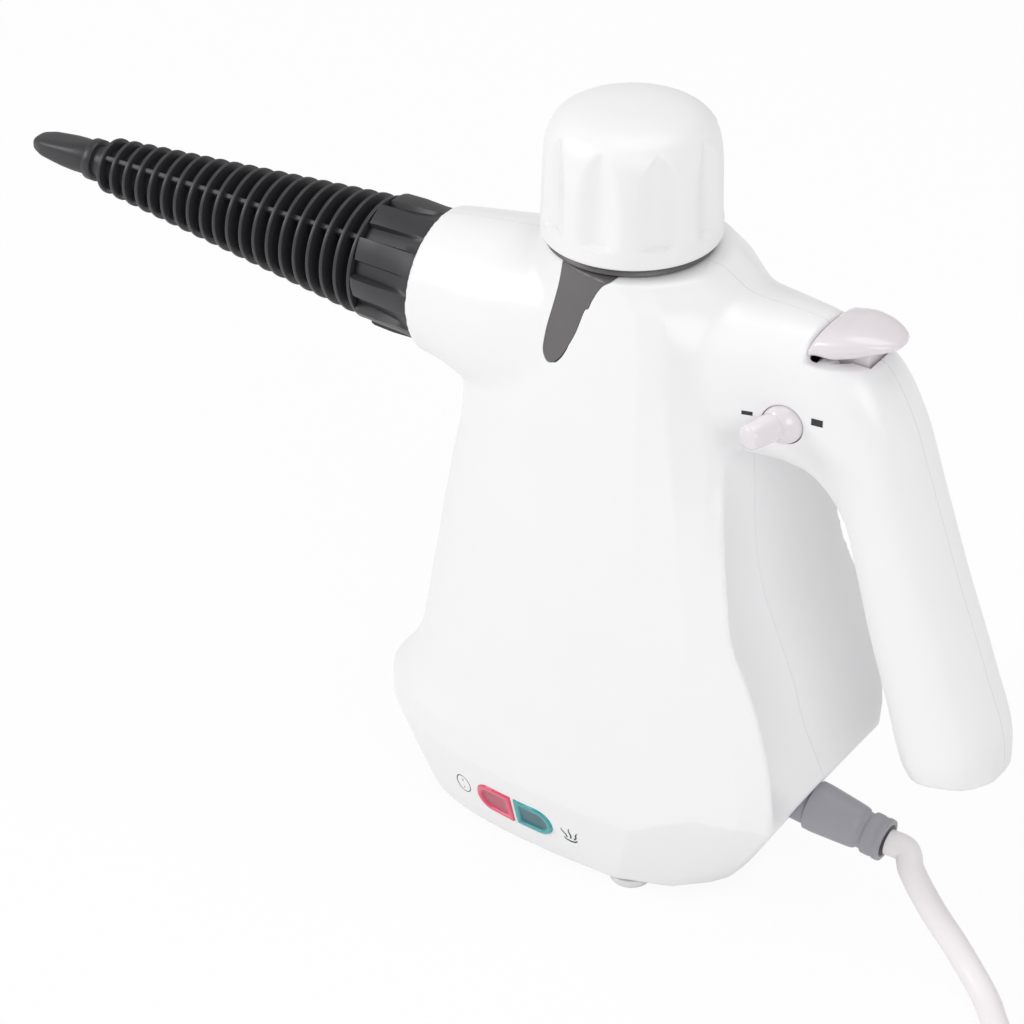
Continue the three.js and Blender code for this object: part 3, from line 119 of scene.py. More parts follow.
def finish(name, colour, roughness, grain_mm, grain_height_mm, ior=1.5, metallic=0.0, tint=0.03,
           rough_swing=0.04, coat=0.0, glow=0.0, soft=0.0, soft_reach_mm=3.0):
    """A moulded, turned or cast surface: a base colour that varies a little, a grain of a real
    size as bump, and roughness that swings with a slower pattern."""
    material = bpy.data.materials.new(name)
    material.use_nodes = True
    tree = material.node_tree
    shader = tree.nodes["Principled BSDF"]
    place = add_node(tree, "ShaderNodeTexCoord").outputs["Object"]
    slow = add_node(tree, "ShaderNodeTexNoise", [("Vector", place)], Scale=1 / (CLOUD_MM * MM),
                    Detail=3.0).outputs["Fac"]
    fine = add_node(tree, "ShaderNodeTexNoise", [("Vector", place)], Scale=1 / (grain_mm * MM),
                    Detail=4.0)
    base = linear(colour)
    paint = add_node(tree, "ShaderNodeMix", [("Factor", slow)], data_type="RGBA",
                     A=[max(0, v * (1 - tint)) for v in base[:3]] + [1],
                     B=[min(1, v * (1 + tint)) for v in base[:3]] + [1])
    wear = add_node(tree, "ShaderNodeMapRange", [("Value", slow)],
                    To_Min=max(0.02, roughness - rough_swing),
                    To_Max=min(1, roughness + rough_swing))
    bump = add_node(tree, "ShaderNodeBump", [("Height", fine.outputs["Fac"])],
                    Distance=grain_height_mm * MM, Strength=1.0)
    for socket, name in ((paint.outputs["Result"], "Base Color"),
                         (wear.outputs["Result"], "Roughness"), (bump.outputs["Normal"], "Normal")):
        tree.links.new(socket, shader.inputs[name])
    values = {"IOR": ior, "Metallic": metallic, "Coat Weight": coat}
    if soft:
        values.update({"Subsurface Weight": soft, "Subsurface Radius": (soft_reach_mm * MM,) * 3,
                       "Subsurface Scale": 1.0})
    # A glow paints light into the surface of a part that is no lamp
    if glow:
        values.update({"Emission Color": base, "Emission Strength": glow})
    for name, value in values.items():
        shader.inputs[name].default_value = value
    return material


# Moulded ABS: a satin skin whose fine spark texture spreads the highlights
abs_white = finish("moulded_abs_white", "#F6F6F7", 0.3, 0.7, 0.006, ior=1.53, tint=0.012)
# Moulded PP with talc, for the cap: a little warmer and softer than the housing
cap_white = finish("moulded_polypropylene_white", "#F7F6F6", 0.36, 0.8, 0.008, ior=1.49, tint=0.012)
# Glass-filled nylon: charcoal, with the dull grain that the fibres leave
nylon_charcoal = finish("glass_filled_nylon_charcoal", "#2E2E31", 0.42, 0.5, 0.02, ior=1.53,
                        tint=0.08)
# Heat-proof collar in dark PBT, with a low satin shine
pbt_grey = finish("moulded_pbt_grey", "#636061", 0.4, 0.8, 0.02, ior=1.55, tint=0.06)
# Polished polycarbonate, smoky and a little cloudy, so light sinks in at its edges
pc_smoke = finish("polished_polycarbonate_smoke", "#E8E1E5", 0.22, 3.0, 0.01, ior=1.585, tint=0.02,
                  soft=0.35, soft_reach_mm=2.0, coat=0.3)
# Clear acrylic dyed in the mass, in two copies: a lighter one for the rims, with a painted glow, and
# a darker one for the recessed middle as painted shade
red_acrylic_glowing = finish("red_acrylic_painted_glow", "#E04468", 0.16, 2.5, 0.01, ior=1.49, coat=0.6, glow=0.06)
red_acrylic_shaded = finish("red_acrylic_painted_shade", "#B23C58", 0.2, 1.2, 0.03, ior=1.49, coat=0.4)
teal_acrylic_glowing = finish("teal_acrylic_painted_glow", "#1F9A9E", 0.16, 2.5, 0.01, ior=1.49, coat=0.6,
                      glow=0.03)
teal_acrylic_shaded = finish("teal_acrylic_painted_shade", "#175F68", 0.2, 1.2, 0.03, ior=1.49, coat=0.4)
# Extruded PVC sheath: pale and soft, with the faint ripple of the cores under it
pvc_cord = finish("extruded_pvc_pale", "#F4F0F2", 0.42, 5.0, 0.12, ior=1.54, tint=0.02)
# Flexible PVC of the strain relief: dull, with a soft highlight along its rings
pvc_grey = finish("moulded_pvc_grey", "#9F9EA5", 0.46, 0.9, 0.02, ior=1.54, tint=0.04)
# Rubbers: matt, with a grain that hides handling marks
rubber_black = finish("moulded_rubber_black", "#28282A", 0.75, 0.6, 0.03, ior=1.52, tint=0.1)
rubber_pale = finish("moulded_rubber_pale", "#E4E4E4", 0.6, 0.6, 0.03, ior=1.52, tint=0.03)
silicone_red = finish("moulded_silicone_red", "#B0564C", 0.55, 1.0, 0.02, ior=1.41, tint=0.05)
# Metals: cast aluminium shows its sand-like skin, brass and steel their turning marks
aluminium_cast = finish("cast_aluminium", "#C9CBCC", 0.48, 0.9, 0.06, metallic=1.0, tint=0.06,
                        rough_swing=0.1)
brass_turned = finish("turned_brass", "#D2B06A", 0.3, 0.4, 0.01, metallic=1.0, tint=0.06,
                      rough_swing=0.1)
steel_plated = finish("zinc_plated_steel", "#CDCFD2", 0.28, 0.5, 0.01, metallic=1.0, tint=0.04,
                      rough_swing=0.08)
nickel_pins = finish("nickel_plated_brass", "#D3D1CB", 0.18, 0.5, 0.004, metallic=1.0, tint=0.03)
steel_burnt = finish("heater_steel", "#8F8984", 0.42, 1.2, 0.02, metallic=1.0, tint=0.2,
                     rough_swing=0.12)
# Board, terminal block, thermostat and lamps: resin and nylon with a low, even shine
glass_epoxy = finish("glass_epoxy_green", "#2C6A45", 0.4, 0.6, 0.02, ior=1.55, tint=0.15)
nylon_ivory = finish("moulded_nylon_ivory", "#E6E1D2", 0.48, 0.8, 0.02, ior=1.53, tint=0.03)
phenolic_black = finish("pressed_phenolic_black", "#2A2725", 0.38, 0.8, 0.02, ior=1.6, tint=0.1)
lamp_glass = finish("frosted_lamp_epoxy", "#E9E4DC", 0.25, 0.8, 0.01, ior=1.55, soft=0.2)
# Pad-printed ink: black and flat, about a tenth of a millimetre proud so that it shows
ink_black = finish("pad_printed_ink", "#2C2E33", 0.55, 0.3, 0.01, ior=1.5, tint=0.1)


# Meshes
def make_piece(name, form, material=None, body=None, place=None, angle=SMOOTH_ANGLE):
    """A mesh piece from a form's points and faces, riding on a body. Without one it is a tool."""
    points, faces = form
    place = place or Matrix.Identity(4)
    mesh = bpy.data.meshes.new(name)
    mesh.from_pydata([(place @ Vector(p) + ZERO) * MM for p in points], [], faces)
    work = bmesh.new()
    work.from_mesh(mesh)
    bmesh.ops.remove_doubles(work, verts=work.verts, dist=1e-7)
    if work.calc_volume(signed=True) < 0:
        bmesh.ops.reverse_faces(work, faces=work.faces)
    work.to_mesh(mesh)
    work.free()
    piece = add_object(name, mesh)
    if material:
        mesh.materials.append(material)
    shade(piece, angle)
    if body:
        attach(piece, body)
    return piece


def shade(piece, angle=SMOOTH_ANGLE):
    piece.data.polygons.foreach_set("use_smooth", [True] * len(piece.data.polygons))
    piece.data.set_sharp_from_angle(angle=radians(angle))


def stand_in(piece, slot, *nodes, material=None, body=None):
    """Puts a piece in the place of nodes. A piece that was cut gets its finish and body here."""
    if material:
        piece.data.materials.clear()
        piece.data.materials.append(material)
        shade(piece)
        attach(piece, body)
    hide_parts(*nodes)


def turns(count):
    return [2 * pi * i / count for i in range(count)]


def circle(radius, height, angles):
    return [(radius * cos(t), radius * sin(t), height) for t in angles]


def loft(rings, ends=True):
    """Skins rings that have the same number of points, with a fan over each end if wanted."""
    count = len(rings[0])
    points = [p for ring in rings for p in ring]
    faces = []
    for k in range(len(rings) - 1):
        for i in range(count):
            j = (i + 1) % count
            faces.append((k * count + i, k * count + j, (k + 1) * count + j, (k + 1) * count + i))
    for start, turn in ((0, True), (len(points) - count, False)) if ends else ():
        ring = points[start:start + count]
        points.append(tuple(sum(p[a] for p in ring) / count for a in range(3)))
        for i in range(count):
            p, q = start + i, start + (i + 1) % count
            faces.append((q, p, len(points) - 1) if turn else (p, q, len(points) - 1))
    return points, faces


def turned(profile, segments):
    """A turned form about +Z from its half profile of (radius, height); a radius of 0 closes it."""
    points, faces, starts = [], [], []
    for radius, height in profile:
        starts.append(len(points))
        points += [(0, 0, height)] if radius == 0 else circle(radius, height, turns(segments))
    for (r, _), (s, _), a, b in zip(profile, profile[1:], starts, starts[1:]):
        for i in range(segments if r or s else 0):
            j = (i + 1) % segments
            faces.append(((a + i, a + j) if r else (a,)) + ((b + j, b + i) if s else (b,)))
    return points, faces


def rod(*steps):
    """The half profile of a rod, from steps of (radius, low, high)."""
    sides = [spot for radius, low, high in steps for spot in ((radius, low), (radius, high))]
    return [(0, steps[0][1])] + sides + [(0, steps[-1][2])]


def ball(radius, steps):
    """The half profile of a ball."""
    return [(0 if i in (0, steps) else radius * sin(pi * i / steps),
             -radius * cos(pi * i / steps)) for i in range(steps + 1)]


def crosswise(profile, x, z, segments=24):
    """A turned form whose axis runs across the housing."""
    points, faces = turned(profile, segments)
    return [(p[0] + x, p[2], -p[1] + z) for p in points], faces


def block(x0, x1, y0, y1, z0, z1):
    points = [(x, y, z) for x in (x0, x1) for y in (y0, y1) for z in (z0, z1)]
    faces = [(0, 1, 3, 2), (4, 6, 7, 5), (0, 4, 5, 1), (2, 3, 7, 6), (0, 2, 6, 4), (1, 5, 7, 3)]
    return points, faces


def prism(outline, low, high):
    """A straight form over an outline in X and Y, from one height to another."""
    return loft([[(x, y, z) for x, y in outline] for z in (low, high)])


def tube(points, radius, sides):
    """A round tube along points, carried along without twist."""
    spots = [Vector(p) for p in points]
    first = (spots[1] - spots[0]).normalized()
    across = Vector((0, 0, 1)) if abs(first.z) < 0.7 else Vector((1, 0, 0))
    rings = []
    for i, p in enumerate(spots):
        along = (spots[min(i + 1, len(spots) - 1)] - spots[max(i - 1, 0)]).normalized()
        across = (across - along * across.dot(along)).normalized()
        up = along.cross(across)
        rings.append([tuple(p + (across * cos(t) + up * sin(t)) * radius)
                      for t in turns(sides)])
    return loft(rings)


def applied(piece):
    """Applies a piece's modifiers and leaves none on it."""
    seen = piece.evaluated_get(bpy.context.evaluated_depsgraph_get())
    mesh = bpy.data.meshes.new_from_object(seen)
    old = piece.data
    piece.modifiers.clear()
    piece.data = mesh
    bpy.data.meshes.remove(old)


def cut(piece, tool, operation="DIFFERENCE"):
    work = piece.modifiers.new("cut", "BOOLEAN")
    work.solver = "MANIFOLD"
    work.operation = operation
    work.object = tool
    applied(piece)


def carve(piece, form, place=None, operation="DIFFERENCE"):
    """Cuts a form out of a piece, joins it on, or keeps what they share."""
    tool = make_piece("tool", form, place=place)
    cut(piece, tool, operation)
    bpy.data.objects.remove(tool)


def copy_of(piece, name):
    twin = piece.copy()
    twin.data = piece.data.copy()
    twin.name = name
    bpy.context.collection.objects.link(twin)
    return twin


def eased(knots, values, at):
    """Values at places between knots, on smooth curves that don't overshoot."""
    knots = np.asarray(knots, float)
    values = np.asarray(values, float)
    gap = np.diff(knots)[:, None]
    slope = np.diff(values, axis=0) / gap
    tangent = np.zeros_like(values)
    tangent[0], tangent[-1] = slope[0], slope[-1]
    for i in range(1, len(knots) - 1):
        one, two = 2 * gap[i] + gap[i - 1], gap[i] + 2 * gap[i - 1]
        alike = slope[i - 1] * slope[i] > 0
        low = np.where(alike, slope[i - 1], 1)
        high = np.where(alike, slope[i], 1)
        tangent[i] = np.where(alike, (one + two) / (one / low + two / high), 0)
    out = []
    for t in at:
        k = min(max(int(np.searchsorted(knots, t, side="right")) - 1, 0), len(knots) - 2)
        h = float(gap[k][0])
        s = (t - knots[k]) / h
        out.append((2 * s**3 - 3 * s**2 + 1) * values[k] + (s**3 - 2 * s**2 + s) * h * tangent[k]
                   + (3 * s**2 - 2 * s**3) * values[k + 1] + (s**3 - s**2) * h * tangent[k + 1])
    return np.array(out)


def finer(rows, count):
    """More rows, eased by their first column."""
    knots = [r[0] for r in rows]
    return eased(knots, rows, np.linspace(knots[0], knots[-1], count))


def finer_along(steps, rows, count):
    """More rows, evenly spaced along a line, from the steps along it between the rows."""
    knots = [0.0]
    for step in steps:
        knots.append(knots[-1] + step)
    return eased(knots, rows, np.linspace(0, knots[-1], count))


def mix(a, b, share):
    return a + (b - a) * share


def super_circle(full, count):
    """Places round a super ellipse of half width 1; the fuller, the squarer."""
    places = [(cos(t), sin(t)) for t in turns(count)]
    return [tuple(copysign(abs(v) ** (2 / full), v) for v in place) for place in places]


# Housing: the part's own tables, drawn finer
HOUSING_WALL = 2.4
SHOULDER = 186.5
FOOT_HEIGHT = 3.0
BELLY_FRONT, BELLY_HALF, REAR_REACH = 74.0, 35.3, 58.0
SEAM_X, SEAM_Z, SEAM_RADIUS, NECK_RUN = -59.5, 157.7, 20.4, 51.0
NOZZLE_RISE = radians(1.45)
HANDLE_REACH, GRIP_HALF = 117.0, 14.0

# Height at the nose and at the rear, nose, half width, fullness, first crease, second crease
# (reach, half width), lip, corner and middle of the rear
BELLY_ROWS = [
    (0.016, 0.016, 0.81, 0.8, 2.9, 0.245, 0.5, 0.65, 0.64, 0.43, 0.69, 0.3, 0.71),
    (0.147, 0.214, 1, 1, 2.5, 0.376, 0.71, 0.98, 0.94, 0.955, 1.09, 0.88, 1.08),
    (0.193, 0.252, 1, 1, 2.5, 0.372, 0.7, 0.983, 0.935, 0.955, 1.1, 0.89, 1.02),
    (0.236, 0.3, 0.915, 0.997, 2.5, 0.369, 0.69, 0.98, 0.925, 0.95, 1.085, 0.89, 0.95),
    (0.279, 0.354, 0.862, 0.995, 2.5, 0.366, 0.672, 0.977, 0.9, 0.945, 1.05, 0.89, 0.9),
    (0.386, 0.44, 0.812, 0.986, 2.4, 0.358, 0.637, 0.969, 0.82, 0.935, 0.965, 0.89, 0.79),
    (0.504, 0.515, 0.764, 0.969, 2.3, 0.349, 0.62, 0.952, 0.724, 0.918, 0.85, 0.87, 0.7),
    (0.595, 0.6, 0.722, 0.935, 2.3, 0.34, 0.57, 0.907, 0.676, 0.864, 0.79, 0.81, 0.655),
    (0.686, 0.686, 0.684, 0.89, 2.2, 0.327, 0.526, 0.856, 0.655, 0.78, 0.73, 0.71, 0.64),
    (0.751, 0.751, 0.676, 0.861, 2.2, 0.32, 0.492, 0.822, 0.638, 0.68, 0.68, 0.58, 0.63),
    (0.858, 0.858, 0.57, 0.816, 2.1, 0.31, 0.43, 0.76, 0.585, 0.6, 0.65, 0.44, 0.68),
    (0.912, 0.912, 0.486, 0.776, 2.1, 0.295, 0.41, 0.72, 0.585, 0.53, 0.665, 0.36, 0.69),
    (0.96, 0.96, 0.405, 0.725, 2, 0.26, 0.38, 0.65, 0.515, 0.44, 0.595, 0.28, 0.62),
    (1, 1, 0.335, 0.68, 2, 0.15, 0.27, 0.57, 0.36, 0.42, 0.42, 0.26, 0.44),
]
CREASE_LIFT = 0.85  # how far the second crease's height lies from the nose's to the rear's
BELT_ROWS, BELT_STEPS = 3, 6  # the first rows meet in hard lines, the rest in smooth curves
SMOOTH_ROWS = 96
COARSE, FINE = (7, 1, 2), (36, 8, 14)  # steps over nose, side and rear


def belly_ring(row, inset=0.0, steps=COARSE):
    (low, high, nose, half, full, crease, second_x, second_y, lip_x, lip_y, corner_x, corner_y,
     rear) = row
    nose_steps, side_steps, rear_steps = steps
    low, high = low * SHOULDER, high * SHOULDER
    nose, half = nose * BELLY_FRONT - inset, half * BELLY_HALF - inset
    crease, rear = crease * REAR_REACH, rear * REAR_REACH - inset
    second = (second_x * REAR_REACH, second_y * BELLY_HALF - inset, mix(low, high, CREASE_LIFT))
    lip = (lip_x * REAR_REACH - inset, lip_y * BELLY_HALF - inset, high)
    corner = (corner_x * REAR_REACH - inset, corner_y * BELLY_HALF - inset, high)
    side = []
    for i in range(nose_steps + 1):
        turn = pi / 2 * i / nose_steps
        c = 0 if i == nose_steps else cos(turn) ** (2 / full)
        side.append((crease - (crease + nose) * c, half * sin(turn) ** (2 / full), low))
    for end in (second, lip, corner):
        start = side[-1]
        for i in range(1, side_steps + 1):
            side.append(tuple(mix(start[a], end[a], i / side_steps) for a in range(3)))
    for i in range(1, rear_steps + 1):
        share = 1 - i / rear_steps
        side.append((mix(rear, corner[0], share**2), corner[1] * share, high))
    return side + [(x, -y, z) for x, y, z in reversed(side[1:-1])]


def belly(inset, lowest, highest, fine):
    rows = BELLY_ROWS
    if fine:
        rows = [[mix(a, b, i / BELT_STEPS) for a, b in zip(BELLY_ROWS[k], BELLY_ROWS[k + 1])]
                for k in range(BELT_ROWS - 1) for i in range(BELT_STEPS)]
        rows += list(finer(BELLY_ROWS[BELT_ROWS - 1:], SMOOTH_ROWS))
    rings = [belly_ring(r, inset, FINE if fine else COARSE) for r in rows]
    rings[0] = [(x, y, lowest) for x, y, z in rings[0]]
    rings[-1] = [(x, y, highest) for x, y, z in rings[-1]]
    return loft(rings)


# Place along the neck's run, half width, height above and below the seam's middle, fullness
NECK_ROWS = [(0, 1, 1, 1, 2), (0.14, 1.05, 1.05, 1.05, 2.05), (0.33, 1.14, 1.11, 1.22, 2.1),
             (0.6, 1.22, 1.2, 1.36, 2.2), (1, 1.24, 1.34, 1.5, 2.3)]


def neck(inset, fine):
    rows, sides = (finer(NECK_ROWS, 40), 96) if fine else (NECK_ROWS, 24)
    rings = []
    for along, half, above, below, full in rows:
        x = SEAM_X + inset + (NECK_RUN - inset) * along
        ring = []
        for c, s in super_circle(full, sides):
            reach = (above if s > 0 else below) * SEAM_RADIUS - inset
            ring.append((x, c * (half * SEAM_RADIUS - inset), SEAM_Z + s * reach))
        rings.append(ring)
    return loft(rings)


# Inner edge, outer edge (reach, height) and half width along the handle
HANDLE_ROWS = [
    (0.07, 0.74, 0.11, 0.972, 1.6), (0.21, 0.744, 0.23, 0.972, 1.6), (0.32, 0.748, 0.33, 0.97, 1.45),
    (0.41, 0.748, 0.425, 0.968, 1.25), (0.483, 0.74, 0.53, 0.958, 1.13),
    (0.54, 0.713, 0.625, 0.925, 1.07), (0.584, 0.67, 0.697, 0.857, 1.03),
    (0.612, 0.606, 0.761, 0.75, 1.01), (0.648, 0.52, 0.832, 0.628, 1),
    (0.7, 0.418, 0.916, 0.492, 1), (0.742, 0.33, 0.977, 0.376, 0.98),
    (0.764, 0.303, 0.981, 0.334, 0.88),
]
HANDLE_FULL = 2.5


def handle(inset, fine):
    rows, sides = HANDLE_ROWS, 18
    if fine:
        middles = [Vector(((r[0] + r[2]) * HANDLE_REACH, (r[1] + r[3]) * SHOULDER)) / 2
                   for r in rows]
        steps = [(q - p).length for p, q in zip(middles, middles[1:])]
        rows, sides = finer_along(steps, rows, 110), 72
    rings = []
    for inner_x, inner_z, outer_x, outer_z, half in rows:
        inner = Vector((inner_x * HANDLE_REACH, 0, inner_z * SHOULDER))
        outer = Vector((outer_x * HANDLE_REACH, 0, outer_z * SHOULDER))
        middle, depth = (inner + outer) / 2, (outer - inner) / 2
        depth = depth.normalized() * (depth.length - inset)
        rings.append([middle + depth * c + Vector((0, s * (half * GRIP_HALF - inset), 0))
                      for c, s in super_circle(HANDLE_FULL, sides)])
    if inset:
        middles = [sum(ring, Vector()) / len(ring) for ring in rings[-2:]]
        back = (middles[0] - middles[1]).normalized() * inset
        rings[-1] = [p + back for p in rings[-1]]
    return loft([[tuple(p) for p in ring] for ring in rings])


NOZZLE_FRAME = (Matrix.Translation((SEAM_X, 0, SEAM_Z))
                @ Matrix.Rotation(-pi / 2 + NOZZLE_RISE, 4, "Y"))
SOCKET_HOLE = 13.3  # round the spout socket
GLAND_X, GLAND_Z, GLAND_TILT = REAR_REACH * 1.03, SHOULDER * 0.16, radians(7.5)
GLAND_FRAME = (Matrix.Translation((GLAND_X, 0, GLAND_Z))
               @ Matrix.Rotation(pi / 2 + GLAND_TILT, 4, "Y"))
GLAND_HOLE, GLAND_HOLE_DEPTH = 6.9, 13

# Trigger, lock and screws, where the part has them
PIVOT_X, PIVOT_Z = 60.3, 170.0
TRIGGER_TIP, TRIGGER_TOP, TRIGGER_HALF, WEB_HALF = 77.7, 182.6, 11.2, 4.6
PIN_RADIUS, BOSS_WALL = 1.5, 1.4
CHEEK_INNER = WEB_HALF + 2 * FIT
CHEEK_RADIUS = PIN_RADIUS + FIT + BOSS_WALL
LEDGE_Z = PIVOT_Z + CHEEK_RADIUS - FIT
SLOT_FRONT = PIVOT_X - CHEEK_RADIUS - FIT
SLOT_REAR = PIVOT_X + (TRIGGER_TIP - PIVOT_X) * 0.64
LEDGE_FRONT = SLOT_FRONT - FIT
VALVE_X, VALVE_RADIUS, VALVE_LOW, VALVE_TOP, PAD_RADIUS = 67.3, 6.0, 142.0, 160.0, 3.2
AT_LOCK = Matrix.Translation((53, -14.6, 156.5))
LOCK_BALL, LOCK_STALK, LOCK_LENGTH, LOCK_LEAN = 5.8, 3.9, 13.5, radians(16)
SCREW_PLACES = [(-BELLY_FRONT * 0.7, SHOULDER * 0.25), (-BELLY_FRONT * 0.54, SHOULDER * 0.73),
                (REAR_REACH * 0.66, SHOULDER * 0.36), (HANDLE_REACH * 0.705, SHOULDER * 0.72),
                (HANDLE_REACH * 0.835, SHOULDER * 0.43)]
SCREW_HEAD, SCREW_SHANK, SCREW_LENGTH, SCREW_SEAT = 2.9, 1.4, 16.0, 8.0

# Lenses in the left bevel
LENS_LENGTH, LENS_HEIGHT, LENS_THICKNESS, LENS_GAP, LENS_FIT = 12.6, 9.6, 2.0, 1.2, FIT * 0.6
LENS_MIDDLE_X = -BELLY_FRONT * 0.245
LENS_STEP = (LENS_LENGTH + LENS_GAP) / 2
POWER_X, READY_X = LENS_MIDDLE_X - LENS_STEP, LENS_MIDDLE_X + LENS_STEP
bevel_low, bevel_high = (belly_ring(row, steps=FINE) for row in BELLY_ROWS[:2])


def bevel_at(ring, x):
    left = sorted((Vector(p) for p in ring if p[1] >= 0), key=lambda p: p.x)
    after = next(i for i, p in enumerate(left) if p.x >= x)
    p, q = left[after - 1], left[after]
    spot = p.lerp(q, (x - p.x) / (q.x - p.x))
    return Vector((spot.x, -spot.y, spot.z))


def bevel_frame(x, length=LENS_LENGTH):
    """A frame on the left bevel: X along it, Y up it and Z out of it."""
    low, high = bevel_at(bevel_low, x), bevel_at(bevel_high, x)
    before, after = (bevel_at(bevel_high, x + step) for step in (-length / 2, length / 2))
    along = (after - before).normalized()
    out = along.cross(high - low).normalized()
    return frame_at(low.lerp(high, 0.5), along, out.cross(along), out)


def lens_outline(grow, direction, steps=20):
    """Square on one end and round on the other."""
    length, height = LENS_LENGTH / 2 + grow, LENS_HEIGHT / 2 + grow
    corner = length - height
    outline = [(-length * direction, -height), (corner * direction, -height)]
    for i in range(1, steps):
        turn = -pi / 2 + pi * i / steps
        outline.append(((corner + height * cos(turn)) * direction, height * sin(turn)))
    return outline + [(corner * direction, height), (-length * direction, height)]


# Collar round the filler, with its tongue: the tongue's outline as (across, down) shares
COLLAR_RADIUS, COLLAR_SEAT, COLLAR_THICKNESS, COLLAR_LIP = 23.2, 20.5, 1.7, 1.6
NECK_OUTER = 16.0
TONGUE_LENGTH, TONGUE_MIDDLE, TONGUE_TIP, TONGUE_FIT = 27.0, -0.3, 0.8, FIT * 0.6
TONGUE_SHARES = [(0.8, 0), (0.5, 0.08), (0.26, 0.18), (0.12, 0.36), (0.09, 0.42), (0.05, 0.44),
                 (-0.03, 0.64), (-0.12, 0.79), (-0.21, 0.91), (-0.3, 0.98), (-0.38, 1),
                 (-0.44, 0.965), (-0.47, 0.89), (-0.455, 0.74), (-0.41, 0.5), (-0.37, 0.25),
                 (-0.35, 0)]


def tongue_prism(grow):
    """The tongue's outline on the left flank, rounded through its own points."""
    knots = list(range(len(TONGUE_SHARES)))
    rim, near = [], []
    for across, down in eased(knots, TONGUE_SHARES, np.linspace(0, knots[-1], 97)):
        x = FILLER_X + across * COLLAR_RADIUS + (grow if across > TONGUE_MIDDLE else -grow)
        z = SHOULDER + OVERRUN - down * (TONGUE_LENGTH + OVERRUN)
        z -= 2 * grow if down > TONGUE_TIP else 0
        rim.append((x, -BELLY_HALF - OVERRUN, z))
        near.append((x, -NECK_OUTER * 0.6, z))
    return loft([rim, near])


# Fillet where neck and handle leave the belly: how far it reaches, how high it starts, and the
# stretch in the middle that has none
FILLET_REACH, FILLET_LOW, FILLET_NONE, FILLET_GAIN = 7, 115, (-4, 8), 1.4
FILLET_STEPS, SOFTEN_STEPS = 60, 5
VOXEL, VOXEL_QUICK = 0.7, 1.5
PARTING = 0.06  # half the gap between the shells


def weigh_joins(shell, sources):
    """A group of the points that lie close to two of the forms, where a mould has a soft fillet."""
    trees = [BVHTree.FromObject(s, bpy.context.evaluated_depsgraph_get()) for s in sources]
    group = shell.vertex_groups.new(name="fillet")
    reach = FILLET_REACH * MM
    for v in shell.data.vertices:
        x, z = v.co.x / MM - ZERO_X, v.co.z / MM
        if z < FILLET_LOW or FILLET_NONE[0] < x < FILLET_NONE[1]:
            continue
        gaps = []
        for tree in (trees[0], trees[1] if x < 0 else trees[2]):
            found = tree.find_nearest(v.co, reach)
            gaps.append(found[3] if found[0] else reach)
        weight = 1 - max(gaps) / reach
        if weight > 0:
            group.add([v.index], min(1, weight * FILLET_GAIN), "REPLACE")


def make_skin():
    """One skin over belly, neck and handle, softened as a mould is."""
    sources = [make_piece("belly", belly(0, FOOT_HEIGHT, SHOULDER, True)),
               make_piece("neck", neck(0, True)), make_piece("handle", handle(0, True))]
    carve(sources[2], block(LEDGE_FRONT, HANDLE_REACH, -BELLY_HALF, BELLY_HALF, LEDGE_Z,
                            SHOULDER + OVERRUN))
    whole = bmesh.new()
    for s in sources:
        whole.from_mesh(s.data)
    mesh = bpy.data.meshes.new("skin")
    whole.to_mesh(mesh)
    whole.free()
    skin = add_object("skin", mesh)
    remesh = skin.modifiers.new("remesh", "REMESH")
    remesh.mode = "VOXEL"
    remesh.voxel_size = VOXEL * MM
    applied(skin)
    weigh_joins(skin, sources)
    for s in sources:
        bpy.data.objects.remove(s)
    for name, steps, group in (("fillet", FILLET_STEPS, "fillet"), ("soften", SOFTEN_STEPS, "")):
        smooth = skin.modifiers.new(name, "SMOOTH")
        smooth.factor, smooth.iterations, smooth.vertex_group = 0.5, steps, group
    applied(skin)
    skin.vertex_groups.clear()
    return skin


def make_hollow(top):
    """The cavity, with the bosses, cheeks and pads that stand in it left out."""
    hollow = make_piece("hollow", belly(HOUSING_WALL, FOOT_HEIGHT - OVERRUN, top, False))
    for form in (neck(HOUSING_WALL, False), handle(HOUSING_WALL, False)):
        carve(hollow, form, operation="UNION")
    boss = rod((SCREW_SHANK + FIT + BOSS_WALL, -BELLY_HALF, 0),
               (SCREW_HEAD + FIT + BOSS_WALL, 0, BELLY_HALF))
    for x, z in SCREW_PLACES:
        carve(hollow, crosswise(boss, x, z))
    for side in (-1, 1):
        cheek = rod((CHEEK_RADIUS, CHEEK_INNER * side, GRIP_HALF * side))
        carve(hollow, crosswise(cheek, PIVOT_X, PIVOT_Z))
        pad = rod((PAD_RADIUS, (VALVE_RADIUS + FIT) * side, GRIP_HALF * side))
        carve(hollow, crosswise(pad, VALVE_X, (VALVE_LOW + VALVE_TOP) / 2))
    return hollow


